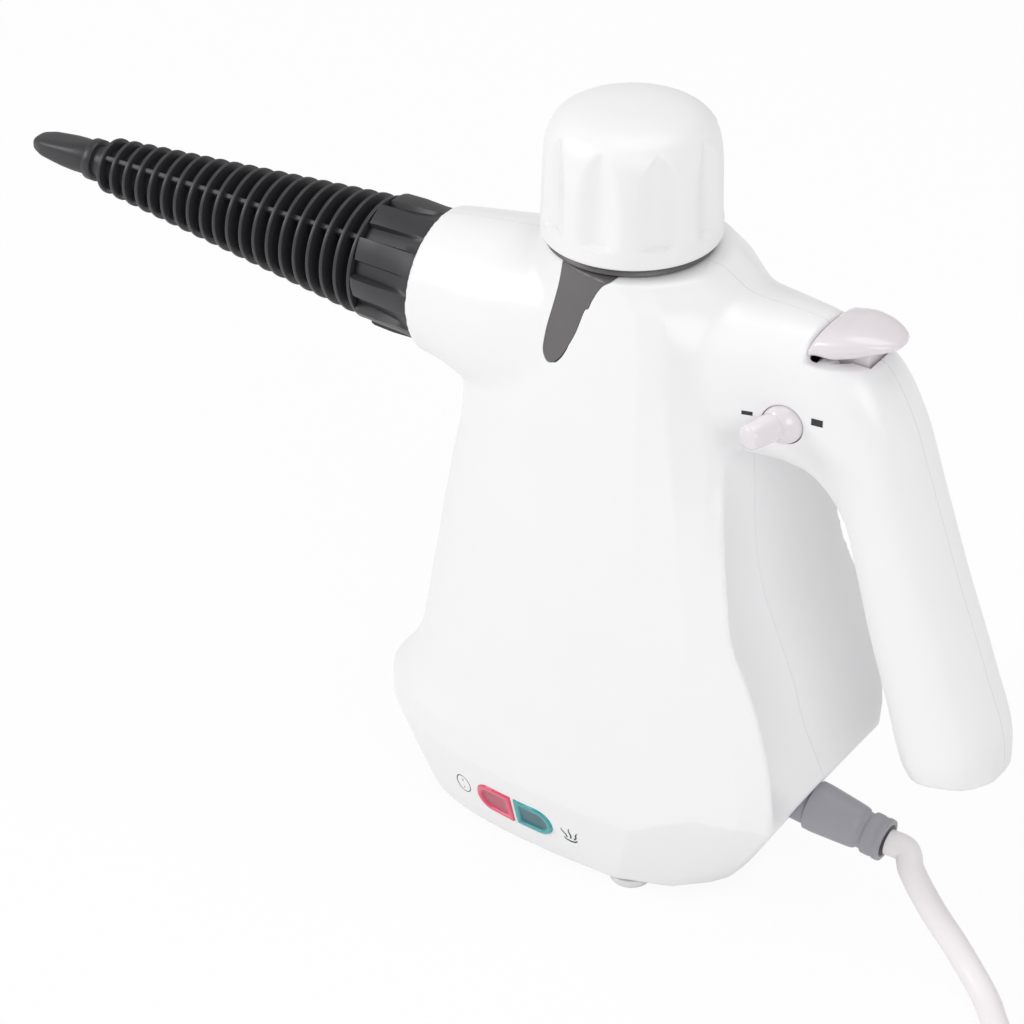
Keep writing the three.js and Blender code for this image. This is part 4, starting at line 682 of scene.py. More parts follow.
def make_housing():
    """The skin, hollowed, cut for what it holds and split into its shells."""
    skin = make_skin()
    outside = copy_of(skin, "outside")
    cavity_top = SHOULDER - HOUSING_WALL
    hollow = make_hollow(cavity_top)
    cut(skin, hollow)
    bpy.data.objects.remove(hollow)

    well = rod((SCREW_SHANK + FIT, SCREW_SEAT - SCREW_LENGTH - FIT, SCREW_SEAT),
               (SCREW_HEAD + FIT, SCREW_SEAT, BELLY_HALF + OVERRUN))
    for x, z in SCREW_PLACES:
        carve(skin, crosswise(well, x, z, 32))
    pin_half = CHEEK_INNER + GRIP_HALF / 4 + FIT
    carve(skin, crosswise(rod((PIN_RADIUS + FIT, -pin_half, pin_half)), PIVOT_X, PIVOT_Z))
    carve(skin, block(SLOT_FRONT, SLOT_REAR, -CHEEK_INNER, CHEEK_INNER, PIVOT_Z - CHEEK_RADIUS,
                      SHOULDER + OVERRUN))
    seat = rod((COLLAR_SEAT + FIT, cavity_top - OVERRUN, SHOULDER + OVERRUN))
    spout = rod((SOCKET_HOLE, -HOUSING_WALL - OVERRUN, OVERRUN))
    gland = rod((GLAND_HOLE, -GLAND_HOLE_DEPTH, OVERRUN))
    for profile, segments, place in ((seat, 96, AT_FILLER),
                                     (ball(LOCK_BALL + FIT, 24), 48, AT_LOCK),
                                     (spout, 64, NOZZLE_FRAME), (gland, 48, GLAND_FRAME)):
        carve(skin, turned(profile, segments), place)
    for x, direction in ((POWER_X, -1), (READY_X, 1)):
        carve(skin, prism(lens_outline(LENS_FIT, direction), -LENS_THICKNESS - HOUSING_WALL - OVERRUN,
                          OVERRUN), bevel_frame(x))
    carve(skin, tongue_prism(TONGUE_FIT))

    halves = []
    for name, node, low, high in (("left_housing", "left_shell", -FAR, -PARTING),
                                  ("right_housing", "right_shell", PARTING, FAR)):
        half = copy_of(skin, name)
        carve(half, block(-FAR, FAR, low, high, -FAR, FAR), operation="INTERSECT")
        half.data.name = name
        stand_in(half, "white_abs", node, material=abs_white, body="housing")
        halves.append(half)
    bpy.data.objects.remove(skin)
    return outside, halves


outside, housing_halves = make_housing()


def make_filler_collar():
    collar = make_piece("filler_collar_piece", tongue_prism(0))
    cut(collar, outside, "INTERSECT")
    carve(collar, turned(rod((COLLAR_SEAT - COLLAR_LIP, 0, SHOULDER + OVERRUN)), 96), AT_FILLER)
    low = SHOULDER - HOUSING_WALL - COLLAR_THICKNESS
    seat, top = SHOULDER + FIT, SHOULDER + FIT + COLLAR_LIP
    inner, rim = NECK_OUTER + FIT, COLLAR_RADIUS - 0.9
    ring = [(inner, low), (COLLAR_SEAT, low), (COLLAR_SEAT, seat), (rim - 0.3, seat),
            (rim, seat + 0.3), (rim - 0.2, seat + 0.8), (rim - 0.7, top - 0.15), (rim - 1.1, top),
            (inner + 0.5, top), (inner, top - 0.5), (inner, low)]
    carve(collar, turned(ring, 128), AT_FILLER, "UNION")
    stand_in(collar, "collar_grey", "filler_collar", material=pbt_grey, body="housing")


make_filler_collar()
bpy.data.objects.remove(outside)


# Cap: fluted cover, as shares of its radius and its height
CAP_RIM, CAP_RADIUS, CAP_HEIGHT, CAP_WALL = 189.0, 23.7, 35.8, 2.5
CAP_ROWS = [(1, 0), (1, 0.16), (0.992, 0.24), (0.985, 0.42), (0.978, 0.58), (0.962, 0.7),
            (0.922, 0.8), (0.835, 0.885), (0.65, 0.95), (0.34, 0.988), (0.001, 1)]
CAP_STEM, PLUG_TOP_SHARE, PLUG_HEAD = 6.5, 0.3, 3
FLUTES, FLUTE_DEPTH, FLUTE_TURN, FLUTE_STEPS = 9, 2.1, 0.53, 28
FLUTE_FOOT, FLUTE_RUN, FLUTE_HALF = 0.13, 0.73, 0.37


def flute_at(height):
    """Half width and depth of a flute, which starts square and ends in a rounded arch."""
    climb = (height - FLUTE_FOOT) / FLUTE_RUN
    if not 0 < climb < 1:
        return 0.1, 0.0
    foot = min(1, climb / 0.04)
    return FLUTE_HALF * (1 - climb**7) + 0.02, FLUTE_DEPTH * foot * (1 - climb**6) ** 0.8


def make_cap():
    steps = [hypot((q[0] - p[0]) * CAP_RADIUS, (q[1] - p[1]) * CAP_HEIGHT)
             for p, q in zip(CAP_ROWS, CAP_ROWS[1:])]
    outer = finer_along(steps, CAP_ROWS, 84)
    stem_top = CAP_RIM + CAP_HEIGHT * PLUG_TOP_SHARE + PLUG_HEAD + FIT
    ceiling = CAP_RIM + CAP_HEIGHT - CAP_WALL * 2.4
    skirt = CAP_RADIUS - CAP_WALL
    inner = skirt - 1.7
    inside = [(0.01, stem_top), (CAP_STEM, stem_top), (CAP_STEM, ceiling), (inner * 0.75, ceiling),
              (inner, CAP_RIM + CAP_HEIGHT * 0.72), (inner, CAP_RIM + CAP_HEIGHT * 0.2),
              (skirt, CAP_RIM + CAP_HEIGHT * 0.14), (skirt, CAP_RIM),
              (CAP_RADIUS - 0.9, CAP_RIM), (CAP_RADIUS - 0.25, CAP_RIM + 0.25)]
    angles = turns(FLUTES * FLUTE_STEPS)
    rings = [circle(r, z, angles) for r, z in inside]
    for radius, height in outer[1:]:
        half, depth = flute_at(height)
        ring = []
        for i, turn in enumerate(angles):
            share = (i / len(angles) * FLUTES + FLUTE_TURN) % 1 - 0.5
            wave = 0.5 + 0.5 * cos(pi * min(1, abs(share) / half))
            r = radius * CAP_RADIUS - depth * wave ** 0.8
            ring.append((r * cos(turn), r * sin(turn), CAP_RIM + height * CAP_HEIGHT))
        rings.append(ring)
    cap = make_piece("cap_cover_piece", loft(rings), cap_white, "filler_cap", AT_FILLER, angle=50)
    stand_in(cap, "white_abs", "cap_cover")


make_cap()

# Nozzle
COLLAR_LENGTH, COLLAR_INSIDE, FLANGE_RADIUS = 20.0, 11.3, 17.4
RIBS, RIB_PITCH, RIB_THICKNESS, RIB_EDGE = 19, 4.9, 1.2, 0.35
FIRST_RIB, LAST_RIB, CORE_SHARE, WEB_SHARE, WEB_THICKNESS = 8.1, 16.9, 0.62, 0.9, 1.5
SPIGOT, SPIGOT_INSIDE, NOZZLE_BORE = 8.6, 9.0, 3.0
SEAL_WIDTH, SEAL_DEPTH = 2.4, 1.6
TIP_NECK, TIP_LENGTH, TIP_BORE = 5.7, 25.9, 1.1
# Places across one grip of the collar, and where its face starts and ends
GRIPS, GRIP_SHARES = 10, [0, 0.1, 0.125, 0.15, 0.18, 0.35, 0.5, 0.62, 0.66, 0.7, 0.73, 0.76, 0.9]
GRIP_START, GRIP_END, GRIP_ROOT, GRIP_STAND = 0.1, 0.76, 1.25, 2.6
# Place along the collar, radius, and how far the grips stand out
COLLAR_ROWS = [(0.03, 0.95, 0), (0.04, 0.97, 0.02), (0.15, 0.94, 0.25), (0.3, 0.9, 0.5),
               (0.62, 0.855, 0.9), (0.93, 0.83, 1), (0.985, 0.82, 0.95), (1, 0.8, 0.85)]
# Place along the tip, width, thickness, fullness
TIP_ROWS = [(0, 0.84, 0.84, 2), (0.115, 0.84, 0.84, 2), (0.12, 1.02, 1.02, 2),
            (0.13, 1.06, 1.06, 2), (0.225, 1.06, 1.06, 2), (0.235, 1.02, 1.02, 2),
            (0.24, 0.86, 0.86, 2), (0.3, 0.88, 0.84, 2.3), (0.4, 0.9, 0.78, 2.8),
            (0.55, 0.9, 0.68, 3.4), (0.7, 0.86, 0.58, 3.6), (0.84, 0.8, 0.5, 3.6),
            (0.87, 0.77, 0.47, 3.6), (0.95, 0.62, 0.4, 3.4), (0.985, 0.54, 0.35, 3.2),
            (1, 0.46, 0.28, 3)]


def make_locking_collar():
    front = COLLAR_LENGTH - FIT
    angles = [2 * pi * (g + s) / GRIPS for g in range(GRIPS) for s in GRIP_SHARES]
    inner = [circle(radius, z, angles) for radius, z in
             ((SOCKET_HOLE, front * 0.03), (SOCKET_HOLE, COLLAR_INSIDE),
              (SPIGOT + FIT, COLLAR_INSIDE), (SPIGOT + FIT, front))]
    outer = []
    for along, radius, stand in COLLAR_ROWS:
        ring = []
        for turn, s in zip(angles, GRIP_SHARES * GRIPS):
            rise = min(1, max(0, (s - GRIP_START) / 0.05)) * min(1, max(0, (GRIP_END - s) / 0.06))
            ramp = 0.62 + 0.5 * max(0, s - GRIP_START) / 0.6
            r = radius * SEAM_RADIUS - GRIP_ROOT + GRIP_STAND * stand * rise * ramp
            ring.append((r * cos(turn), r * sin(turn), along * front))
        outer.append(ring)
    collar = make_piece("locking_collar_piece", loft(outer + inner[::-1] + outer[:1], ends=False),
                        nylon_charcoal, "locking_collar", NOZZLE_FRAME, angle=30)
    stand_in(collar, "charcoal_nylon", "nozzle_collar")


def rib_at(k):
    return COLLAR_LENGTH + RIB_PITCH * k


NOZZLE_END = rib_at(RIBS) + RIB_THICKNESS * 2


def make_fins():
    seal_low, seal_high = (-SPIGOT_INSIDE / 2 + side * SEAL_WIDTH / 2 for side in (-1, 1))
    profile = [(NOZZLE_BORE, -SPIGOT_INSIDE), (SPIGOT - 0.5, -SPIGOT_INSIDE),
               (SPIGOT, -SPIGOT_INSIDE + 0.5), (SPIGOT, seal_low), (SPIGOT - SEAL_DEPTH, seal_low),
               (SPIGOT - SEAL_DEPTH, seal_high), (SPIGOT, seal_high), (SPIGOT, COLLAR_LENGTH)]
    radii = [FLANGE_RADIUS] + [mix(LAST_RIB, FIRST_RIB, k / (RIBS - 1)) for k in range(RIBS)]
    for k, r in enumerate(radii):
        z, top = rib_at(k), rib_at(k) + RIB_THICKNESS
        if k:
            profile.append((r * CORE_SHARE, z))
        profile += [(r - RIB_EDGE, z), (r - RIB_EDGE * 0.3, z + RIB_EDGE * 0.3), (r, z + RIB_EDGE),
                    (r, top - RIB_EDGE), (r - RIB_EDGE * 0.3, top - RIB_EDGE * 0.3),
                    (r - RIB_EDGE, top), (r * CORE_SHARE, top)]
    profile += [(TIP_NECK, NOZZLE_END), (NOZZLE_BORE, NOZZLE_END), (NOZZLE_BORE, -SPIGOT_INSIDE)]
    points, faces = turned(profile, 72)
    low, high = (rib_at(k) + RIB_THICKNESS / 2 for k in (0, RIBS))
    half, foot = WEB_THICKNESS / 2, NOZZLE_BORE * 1.3
    for k in range(4):
        turn = Matrix.Rotation(pi / 2 * (k + 0.5), 4, "Z")
        web_points, web_faces = loft([[tuple(turn @ Vector(p)) for p in
                                       ((foot, -half, z), (r - 0.3, -half, z), (r, -half * 0.6, z),
                                        (r, half * 0.6, z), (r - 0.3, half, z), (foot, half, z))]
                                      for z, r in ((low, LAST_RIB * WEB_SHARE),
                                                   (high, FIRST_RIB * WEB_SHARE))])
        faces += [tuple(i + len(points) for i in f) for f in web_faces]
        points += web_points
    fins = make_piece("nozzle_fins_piece", (points, faces), nylon_charcoal, "nozzle", NOZZLE_FRAME,
                      angle=40)
    stand_in(fins, "charcoal_nylon", "nozzle_fins")


def make_tip():
    start = NOZZLE_END + FIT
    rings = [[(thick * TIP_NECK * c, wide * TIP_NECK * s, start + along * TIP_LENGTH)
              for c, s in super_circle(full, 64)]
             for along, wide, thick, full in TIP_ROWS]
    tip = make_piece("nozzle_tip_piece", loft(rings), nylon_charcoal, "nozzle", NOZZLE_FRAME,
                     angle=45)
    bore = rod((TIP_BORE, start - OVERRUN, start + TIP_LENGTH + OVERRUN))
    carve(tip, turned(bore, 32), NOZZLE_FRAME)
    shade(tip, 45)
    stand_in(tip, "charcoal_nylon", "nozzle_tip")


make_locking_collar()
make_fins()
make_tip()


# Trigger paddle with its web, and the lock lever
# Place along the paddle, half width, top and underside
TRIGGER_ROWS = [(0, 1.0, 0.5, 0), (0.03, 1.01, 0.66, 0), (0.08, 1.02, 0.8, 0), (0.25, 1.02, 0.92, 0),
                (0.45, 0.95, 1, 0.1), (0.62, 0.84, 0.98, 0.24), (0.82, 0.62, 0.9, 0.42),
                (0.95, 0.4, 0.82, 0.52), (0.985, 0.3, 0.79, 0.55), (1, 0.2, 0.75, 0.59)]
TRIGGER_FULL, PLUNGER_STAND, WEB_HEIGHT = 2.6, 5, 0.45
# Radius and height of the lock's peg, as shares
PEG_ROWS = [(0, 0), (1, 0), (0.93, 0.6), (0.87, 0.88), (0.83, 0.94), (0.74, 0.98), (0.6, 1), (0, 1)]


def make_trigger():
    front, low = LEDGE_FRONT + FIT, LEDGE_Z + 2 * FIT
    depth = TRIGGER_TOP - low
    rings = [[(mix(front, TRIGGER_TIP, along), c * half * TRIGGER_HALF,
               mix(low + depth * under, low + depth * top, (s + 1) / 2))
              for c, s in super_circle(TRIGGER_FULL, 56)]
             for along, half, top, under in finer(TRIGGER_ROWS, 48)]
    trigger = make_piece("trigger_piece", loft(rings))
    web_front, web_rear = PIVOT_X - PIN_RADIUS - BOSS_WALL, VALVE_X + PAD_RADIUS
    web_top, plunger_top = TRIGGER_TOP - depth * WEB_HEIGHT, VALVE_TOP + PLUNGER_STAND + FIT
    outline = [(web_front, PIVOT_Z - PIN_RADIUS - BOSS_WALL), (VALVE_X - PAD_RADIUS, plunger_top),
               (web_rear, plunger_top), (web_rear, web_top), (web_front, web_top)]
    web = loft([[(x, y, z) for x, z in outline] for y in (-WEB_HALF, WEB_HALF)])
    carve(trigger, web, operation="UNION")
    carve(trigger, crosswise(rod((PIN_RADIUS + FIT, -BELLY_HALF, BELLY_HALF)), PIVOT_X, PIVOT_Z))
    stand_in(trigger, "smoke_clear", "trigger", material=pc_smoke, body="trigger")


def make_lock():
    peg = [(LOCK_STALK * radius, LOCK_LENGTH * height) for radius, height in PEG_ROWS]
    finger = rod((LOCK_STALK / 2, -LOCK_BALL * 1.45, 0))
    place = AT_LOCK @ Matrix.Rotation(-LOCK_LEAN, 4, "Z") @ Matrix.Rotation(pi / 2, 4, "X")
    lever = make_piece("lock_lever_piece", turned(ball(LOCK_BALL, 32), 48), place=place)
    for profile in (peg, finger):
        carve(lever, turned(profile, 40), place, "UNION")
    stand_in(lever, "smoke_clear", "lock_lever", material=pc_smoke, body="lock")


make_trigger()
make_lock()


# Lenses: a raised rim round a recessed middle, in steps of growth and height
LENS_LEVELS = [(0, -LENS_THICKNESS), (0, 0.15), (-0.15, 0.4), (-0.4, 0.5), (-1.1, 0.5),
               (-1.35, 0.42), (-1.6, 0.05), (-1.9, -0.1), (-3, -0.12)]
LENS_SHADE_BELOW = 0.2  # what lies lower than this and faces out is the recessed middle, which gets the darker copy as painted shade


def make_lens(name, node, x, direction, rim, middle_shaded, slot):
    place = bevel_frame(x)
    rings = [[(px, py, z) for px, py in lens_outline(grow, direction)] for grow, z in LENS_LEVELS]
    lens = make_piece(name, loft(rings), rim, "housing", place)
    lens.data.materials.append(middle_shaded)
    centre = (place @ Vector((0, 0, 0)) + ZERO) * MM
    out = place.to_3x3() @ Vector((0, 0, 1))
    # The rim keeps the lighter copy with its painted glow; the recessed middle takes the darker copy
    # as painted shade
    for f in lens.data.polygons:
        low = (f.center - centre).dot(out) < LENS_SHADE_BELOW * MM
        f.material_index = 1 if low and f.normal.dot(out) > 0.5 else 0
    stand_in(lens, slot, node)


make_lens("power_lens_piece", "power_lens", POWER_X, -1, red_acrylic_glowing, red_acrylic_shaded, "lens_red")
make_lens("ready_lens_piece", "ready_lens", READY_X, 1, teal_acrylic_glowing, teal_acrylic_shaded, "lens_teal")


# Cord: the part's own route, drawn finer
CORD = 7.3
CORD_RADIUS = CORD / 2
GLAND_LENGTH, GLAND_RADIUS, GLAND_NECK, GLAND_INSIDE, GLAND_MOUTH = 23.0, 7.1, 6.2, 9, 0.14
COIL_TURNS, COIL_LAYERS, COIL_MIDDLE, COIL_PITCH, COIL_BULGE = 8.5, 4, 43.5, 8.2, 2.0
COIL_X, COIL_Y, COIL_STEPS = 196.0, 0.0, 48
TIE_THICKNESS, TIE_WIDTH, TIE_EDGE = 1.0, 12.0, 0.25
PLUG_RADIUS, PLUG_BODY, PLUG_RELIEF = 18.0, 30.0, 22.0
SPIRAL = (COIL_TURNS - (COIL_LAYERS - 1) / 2) / COIL_LAYERS  # turns in one layer
COIL_LOW = CORD_RADIUS + TIE_THICKNESS + FIT
COIL_OUTER = COIL_MIDDLE + COIL_PITCH * SPIRAL / 2
COIL_END = COIL_X - CORD * 1.5
COIL_TOP = COIL_LOW + (COIL_LAYERS - 1) * COIL_PITCH
COIL_NEAR, TAIL_Y = COIL_Y - COIL_OUTER, COIL_Y + COIL_OUTER
PLUG_ASIDE, PLUG_SETBACK = 22.0, 16.0
PLUG_Y, PLUG_Z = COIL_Y - PLUG_ASIDE, COIL_TOP + CORD_RADIUS + FIT + PLUG_RADIUS
TAIL_END = COIL_X - PLUG_SETBACK
LEAD_ROUTE = [(91.6, -2.6, 22.6), (101.1, -7.6, 16), (109.9, -11.2, 10.8), (117.2, -14.9, 6.8),
              (124.4, -20.2, 4.4), (130.4, -27, CORD_RADIUS), (137.6, -34.6, CORD_RADIUS),
              (146, -41.2, 3.7), (156, -46.6, 3.85), (166.5, -49.7, 4.3)]
TAIL_ROUTE = [(168.5, 49.3, 30.1), (160.2, 45, 32), (153.8, 37.6, 35.2), (150, 27.6, 39.4),
              (148.7, 16, 44), (149, 4.5, 48), (150.9, -6, 50.4), (156.2, -14.5, 51.3),
              (164.4, -20.1, PLUG_Z)]


def through(points, per_span=8):
    """A centripetal curve through points, as the part's own cord has."""
    spots = [np.array(p, float) for p in points]
    spots = [2 * spots[0] - spots[1]] + spots + [2 * spots[-1] - spots[-2]]
    out = []
    for k in range(1, len(spots) - 2):
        near, times = spots[k - 1:k + 3], [0.0]
        for p, q in zip(near, near[1:]):
            times.append(times[-1] + max(np.linalg.norm(q - p), 1e-6) ** 0.5)
        for i in range(per_span):
            t = times[1] + (times[2] - times[1]) * i / per_span
            level = near
            for start, width in ((0, 1), (0, 2), (1, 1)):
                level = [((high - t) * p + (t - low) * q) / (high - low) for p, q, low, high in
                         zip(level, level[1:], times[start:], times[start + width:])]
            out.append(tuple(level[0]))
    out.append(tuple(spots[-2]))
    return out


def coil_point(turn):
    stage = SPIRAL + 0.5
    layer = min(int(turn / stage), COIL_LAYERS - 1)
    within = turn - layer * stage
    inward = layer % 2 == 0
    inner = COIL_OUTER - COIL_PITCH * SPIRAL
    radius = COIL_OUTER - COIL_PITCH * within if inward else inner + COIL_PITCH * within
    climb = layer
    if within > SPIRAL:
        share = (within - SPIRAL) / 0.5
        swing = COIL_BULGE * sin(pi * share)
        radius = inner - swing if inward else COIL_OUTER + swing
        climb += (1 - cos(pi * share)) / 2
    angle = -pi / 2 + 2 * pi * turn
    return (COIL_X + radius * cos(angle), COIL_Y + radius * sin(angle),
            COIL_LOW + climb * COIL_PITCH)


def lay_cord():
    mouth = FIT + GLAND_LENGTH
    start, straight = (GLAND_FRAME @ Vector((0, 0, mouth + past)) for past in (FIT, CORD * 0.8))
    lead = through([start, straight] + LEAD_ROUTE + [(COIL_END - CORD - FIT, COIL_NEAR, COIL_LOW),
                                                     (COIL_END, COIL_NEAR, COIL_LOW)])
    coil = [coil_point(i / COIL_STEPS) for i in range(int(COIL_TURNS * COIL_STEPS) + 1)]
    tail = through([(COIL_END, TAIL_Y, COIL_TOP), (COIL_END - FIT - CORD, TAIL_Y, COIL_TOP)]
                   + TAIL_ROUTE + [(TAIL_END - CORD, PLUG_Y, PLUG_Z), (TAIL_END, PLUG_Y, PLUG_Z)])
    return (lead + [(COIL_END + CORD, COIL_NEAR, COIL_LOW)] + coil
            + [(COIL_END + CORD, TAIL_Y, COIL_TOP)] + tail)


def make_cord():
    route = lay_cord()
    cord = make_piece("mains_lead", tube(route, CORD_RADIUS, 24), pvc_cord, "housing", angle=60)
    stand_in(cord, "cord_pvc", "cord_lead", "cord_coil", "cord_tail")
    path = [((x + ZERO_X) * MM, y * MM, z * MM) for x, y, z in route]
    length = sum(dist(p, q) for p, q in zip(path, path[1:]))
    return cord, path, length


def make_plug():
    base = PLUG_RELIEF + PLUG_BODY
    profile = [(0, 0), (CORD_RADIUS + 1, 0), (CORD_RADIUS + 1.15, 0.3)]
    for k in range(6):
        z = 1.5 + k * 3.1
        r = mix(CORD_RADIUS + 1.2, PLUG_RELIEF * 0.34, z / PLUG_RELIEF)
        profile += [(r, z), (r, z + 1.6), (r - 0.5, z + 1.85), (r - 0.45, z + 2.85)]
    profile += [(PLUG_RELIEF * 0.35, PLUG_RELIEF - 0.4), (PLUG_RADIUS * 0.6, PLUG_RELIEF + 2.4),
                (PLUG_RADIUS * 0.68, PLUG_RELIEF + 5)]
    profile += [(PLUG_RADIUS * wide, PLUG_RELIEF + PLUG_BODY * along)
                for wide, along in ((0.78, 0.5), (0.93, 0.68), (0.985, 0.76), (1, 0.82))]
    profile += [(PLUG_RADIUS, base - 0.6), (PLUG_RADIUS - 0.5, base), (0, base)]
    place = Matrix.Translation((TAIL_END + FIT, PLUG_Y, PLUG_Z)) @ Matrix.Rotation(pi / 2, 4, "Y")
    plug = make_piece("mains_plug", turned(profile, 72), pvc_cord, "housing", place)
    stand_in(plug, "cord_pvc", "plug_body")
    return plug


def tie_outline(grow):
    """The tie's rounded rectangle round the coil's turns, in X and Z."""
    half = COIL_PITCH * SPIRAL / 2 + COIL_BULGE + CORD_RADIUS + FIT
    height = (COIL_LAYERS - 1) * COIL_PITCH + CORD + 2 * FIT
    corner = CORD_RADIUS + grow
    x, top, low = half + grow, height + grow, -grow
    out = []
    for cx, cz, start in ((x - corner, low + corner, -90), (x - corner, top - corner, 0),
                          (-x + corner, top - corner, 90), (-x + corner, low + corner, 180)):
        for i in range(9):
            turn = radians(start + 90 * i / 8)
            out.append((cx + corner * cos(turn), cz + corner * sin(turn)))
    return out


def make_tie():
    thin, narrow = TIE_THICKNESS - TIE_EDGE, TIE_WIDTH - TIE_EDGE
    rings = [[(COIL_X + COIL_MIDDLE + x, COIL_Y - TIE_WIDTH / 2 + side, z + TIE_THICKNESS)
              for x, z in tie_outline(grow)]
             for grow, side in ((0, 0), (thin, 0), (TIE_THICKNESS, TIE_EDGE),
                                (TIE_THICKNESS, narrow), (thin, TIE_WIDTH), (0, TIE_WIDTH), (0, 0))]
    tie = make_piece("coil_tie_piece", loft(rings, ends=False), rubber_black, "housing")
    stand_in(tie, "black_rubber", "coil_tie")
    return tie


def make_gland():
    rows = [(0, 1), (0.1, 1), (0.3, 0.95), (0.56, 0.88), (0.6, 0.865), (0.64, 0.83), (0.665, 0.75),
            (0.715, 0.735), (0.735, 0.77), (0.75, 0.83), (0.765, 0.85), (0.84, 0.85), (0.87, 0.83),
            (0.9, 0.83), (0.92, 0.86), (0.965, 0.86), (0.985, 0.84), (0.99, 0.8)]
    profile = [(0, -GLAND_INSIDE), (GLAND_NECK, -GLAND_INSIDE), (GLAND_NECK, -0.5)]
    profile += [(radius * GLAND_RADIUS, FIT + along * GLAND_LENGTH) for along, radius in rows]
    mouth = FIT + GLAND_LENGTH
    sunk = mouth - GLAND_LENGTH * GLAND_MOUTH
    profile += [(CORD_RADIUS + 1.1, mouth - 0.25), (CORD_RADIUS + 0.9, mouth - 0.9),
                (CORD_RADIUS + FIT, sunk), (0, sunk)]
    gland = make_piece("cord_gland_piece", turned(profile, 72), pvc_grey, "housing", GLAND_FRAME)
    stand_in(gland, "gland_grey", "cord_gland")


make_gland()
lead, lead_path, lead_length = make_cord()
plug = make_plug()
tie = make_tie()


# Base plate and feet
PLATE_LOW = FOOT_HEIGHT + FIT
PLATE_HIGH = PLATE_LOW + 2.4
FOOT_RADIUS, FOOT_STEM = 6.0, 2
FOOT_PLACES = [place for side in (-1, 1) for place in
               ((REAR_REACH * 0.26, BELLY_HALF * 0.61 * side),
                (-BELLY_FRONT * 0.57, BELLY_HALF * 0.37 * side))]


def make_base():
    outline = [(x, y) for x, y, z in belly_ring(BELLY_ROWS[0], HOUSING_WALL + FIT, FINE)]
    plate = make_piece("base_plate_piece", prism(outline, PLATE_LOW, PLATE_HIGH), abs_white,
                       "housing")
    stand_in(plate, "white_abs", "base_plate")
    top = FOOT_HEIGHT - FIT
    profile = [(0, 0), (FOOT_RADIUS * 0.8, 0), (FOOT_RADIUS * 0.92, 0.25), (FOOT_RADIUS * 0.99, 0.8),
               (FOOT_RADIUS, 1.2), (FOOT_RADIUS, top), (FOOT_STEM, top), (FOOT_STEM, PLATE_HIGH),
               (0, PLATE_HIGH)]
    for i, (x, y) in enumerate(FOOT_PLACES, 1):
        foot = make_piece(f"foot_{i}_piece", turned(profile, 48), rubber_pale, "housing",
                          Matrix.Translation((x, y, 0)))
        stand_in(foot, "pale_rubber", f"foot_{i}")


make_base()


# Printed marks: an on mark and steam strokes beside the lenses, and two bars beside the lock
INK_LIFT, BAR_LIFT, INK_DEPTH = 0.12, 0.08, 0.4
MARK_SPAN = 7  # length of bevel that a mark's plane follows
LINE_WIDTH, DASH_WIDTHS = 0.32, [0.3, 0.45, 0.5, 0.45, 0.3]
STEAM_WIDTHS = [0.42] * 6 + [0.36, 0.32, 0.28, 0.22, 0.14]
# Pixels of the picture where the bars show, with their length and height in millimetres
BARS = [((747, 413), 2.9, 1.1), ((817, 423), 3.1, 1.9)]


def flat_stroke(spots, widths, place, lift):
    """A flat stroke along points of its own plane, a hair above the surface."""
    left, right = [], []
    for i, (x, y) in enumerate(spots):
        px, py = spots[max(i - 1, 0)]
        qx, qy = spots[min(i + 1, len(spots) - 1)]
        run = hypot(qx - px, qy - py)
        nx, ny = -(qy - py) / run, (qx - px) / run
        w = widths[i] / 2
        left.append((x + nx * w, y + ny * w))
        right.append((x - nx * w, y - ny * w))
    outline = left + right[::-1]
    count = len(outline)
    faces = [(i, i + 1, count - 2 - i, count - 1 - i) for i in range(len(left) - 1)]
    faces += [tuple(j + count for j in reversed(f)) for f in faces]
    faces += [(i, i + count, (i + 1) % count + count, (i + 1) % count) for i in range(count)]
    return [place @ Vector((x, y, z)) for z in (lift, lift - INK_DEPTH) for x, y in outline], faces


def make_marks():
    points, faces = [], []

    def put(spots, widths, place):
        more, sides = flat_stroke(spots, widths, place, INK_LIFT)
        faces.extend(tuple(i + len(points) for i in f) for f in sides)
        points.extend(more)

    on_place = bevel_frame(POWER_X - LENS_LENGTH / 2 - 5.5, MARK_SPAN)
    ring = [(2.6 * cos(t), 3.1 * sin(t)) for t in
            (2 * pi * i / 40 for i in range(41))]
    put(ring, [LINE_WIDTH] * 41, on_place)
    put([(0, -1.9), (0, 1.9)], [LINE_WIDTH] * 2, on_place)
    steam_place = bevel_frame(READY_X + LENS_LENGTH / 2 + 6, MARK_SPAN)
    put([(-2.2, -1.9), (-1.4, -2.6), (0, -2.9), (1.4, -2.6), (2.2, -1.9)], DASH_WIDTHS, steam_place)
    for x, lean, top in ((-1.2, -1.5, 1.6), (0, 0, 2.4), (1.2, 1.5, 1.6)):
        put([(x + lean * s + 0.25 * sin(2 * pi * s), mix(-1.6, top, s))
             for s in (i / 10 for i in range(11))], STEAM_WIDTHS, steam_place)
    make_piece("printed_marks", (points, faces), ink_black, "housing", angle=20)


def seen_spot(px, py):
    """Where the ray through a pixel of the picture meets the left housing, and its normal."""
    middle = PICTURE_PIXELS / 2
    ray = Vector(((px - middle) / FOCAL_PIXELS, -(py - middle) / FOCAL_PIXELS, -1))
    left = housing_halves[0]
    back = left.matrix_world.inverted()
    direction = (back.to_3x3() @ (eye.matrix_world.to_3x3() @ ray)).normalized()
    _, spot, normal, _ = left.ray_cast(back @ CAMERA_PLACE, direction)
    return left.matrix_world @ spot, (left.matrix_world.to_3x3() @ normal).normalized()


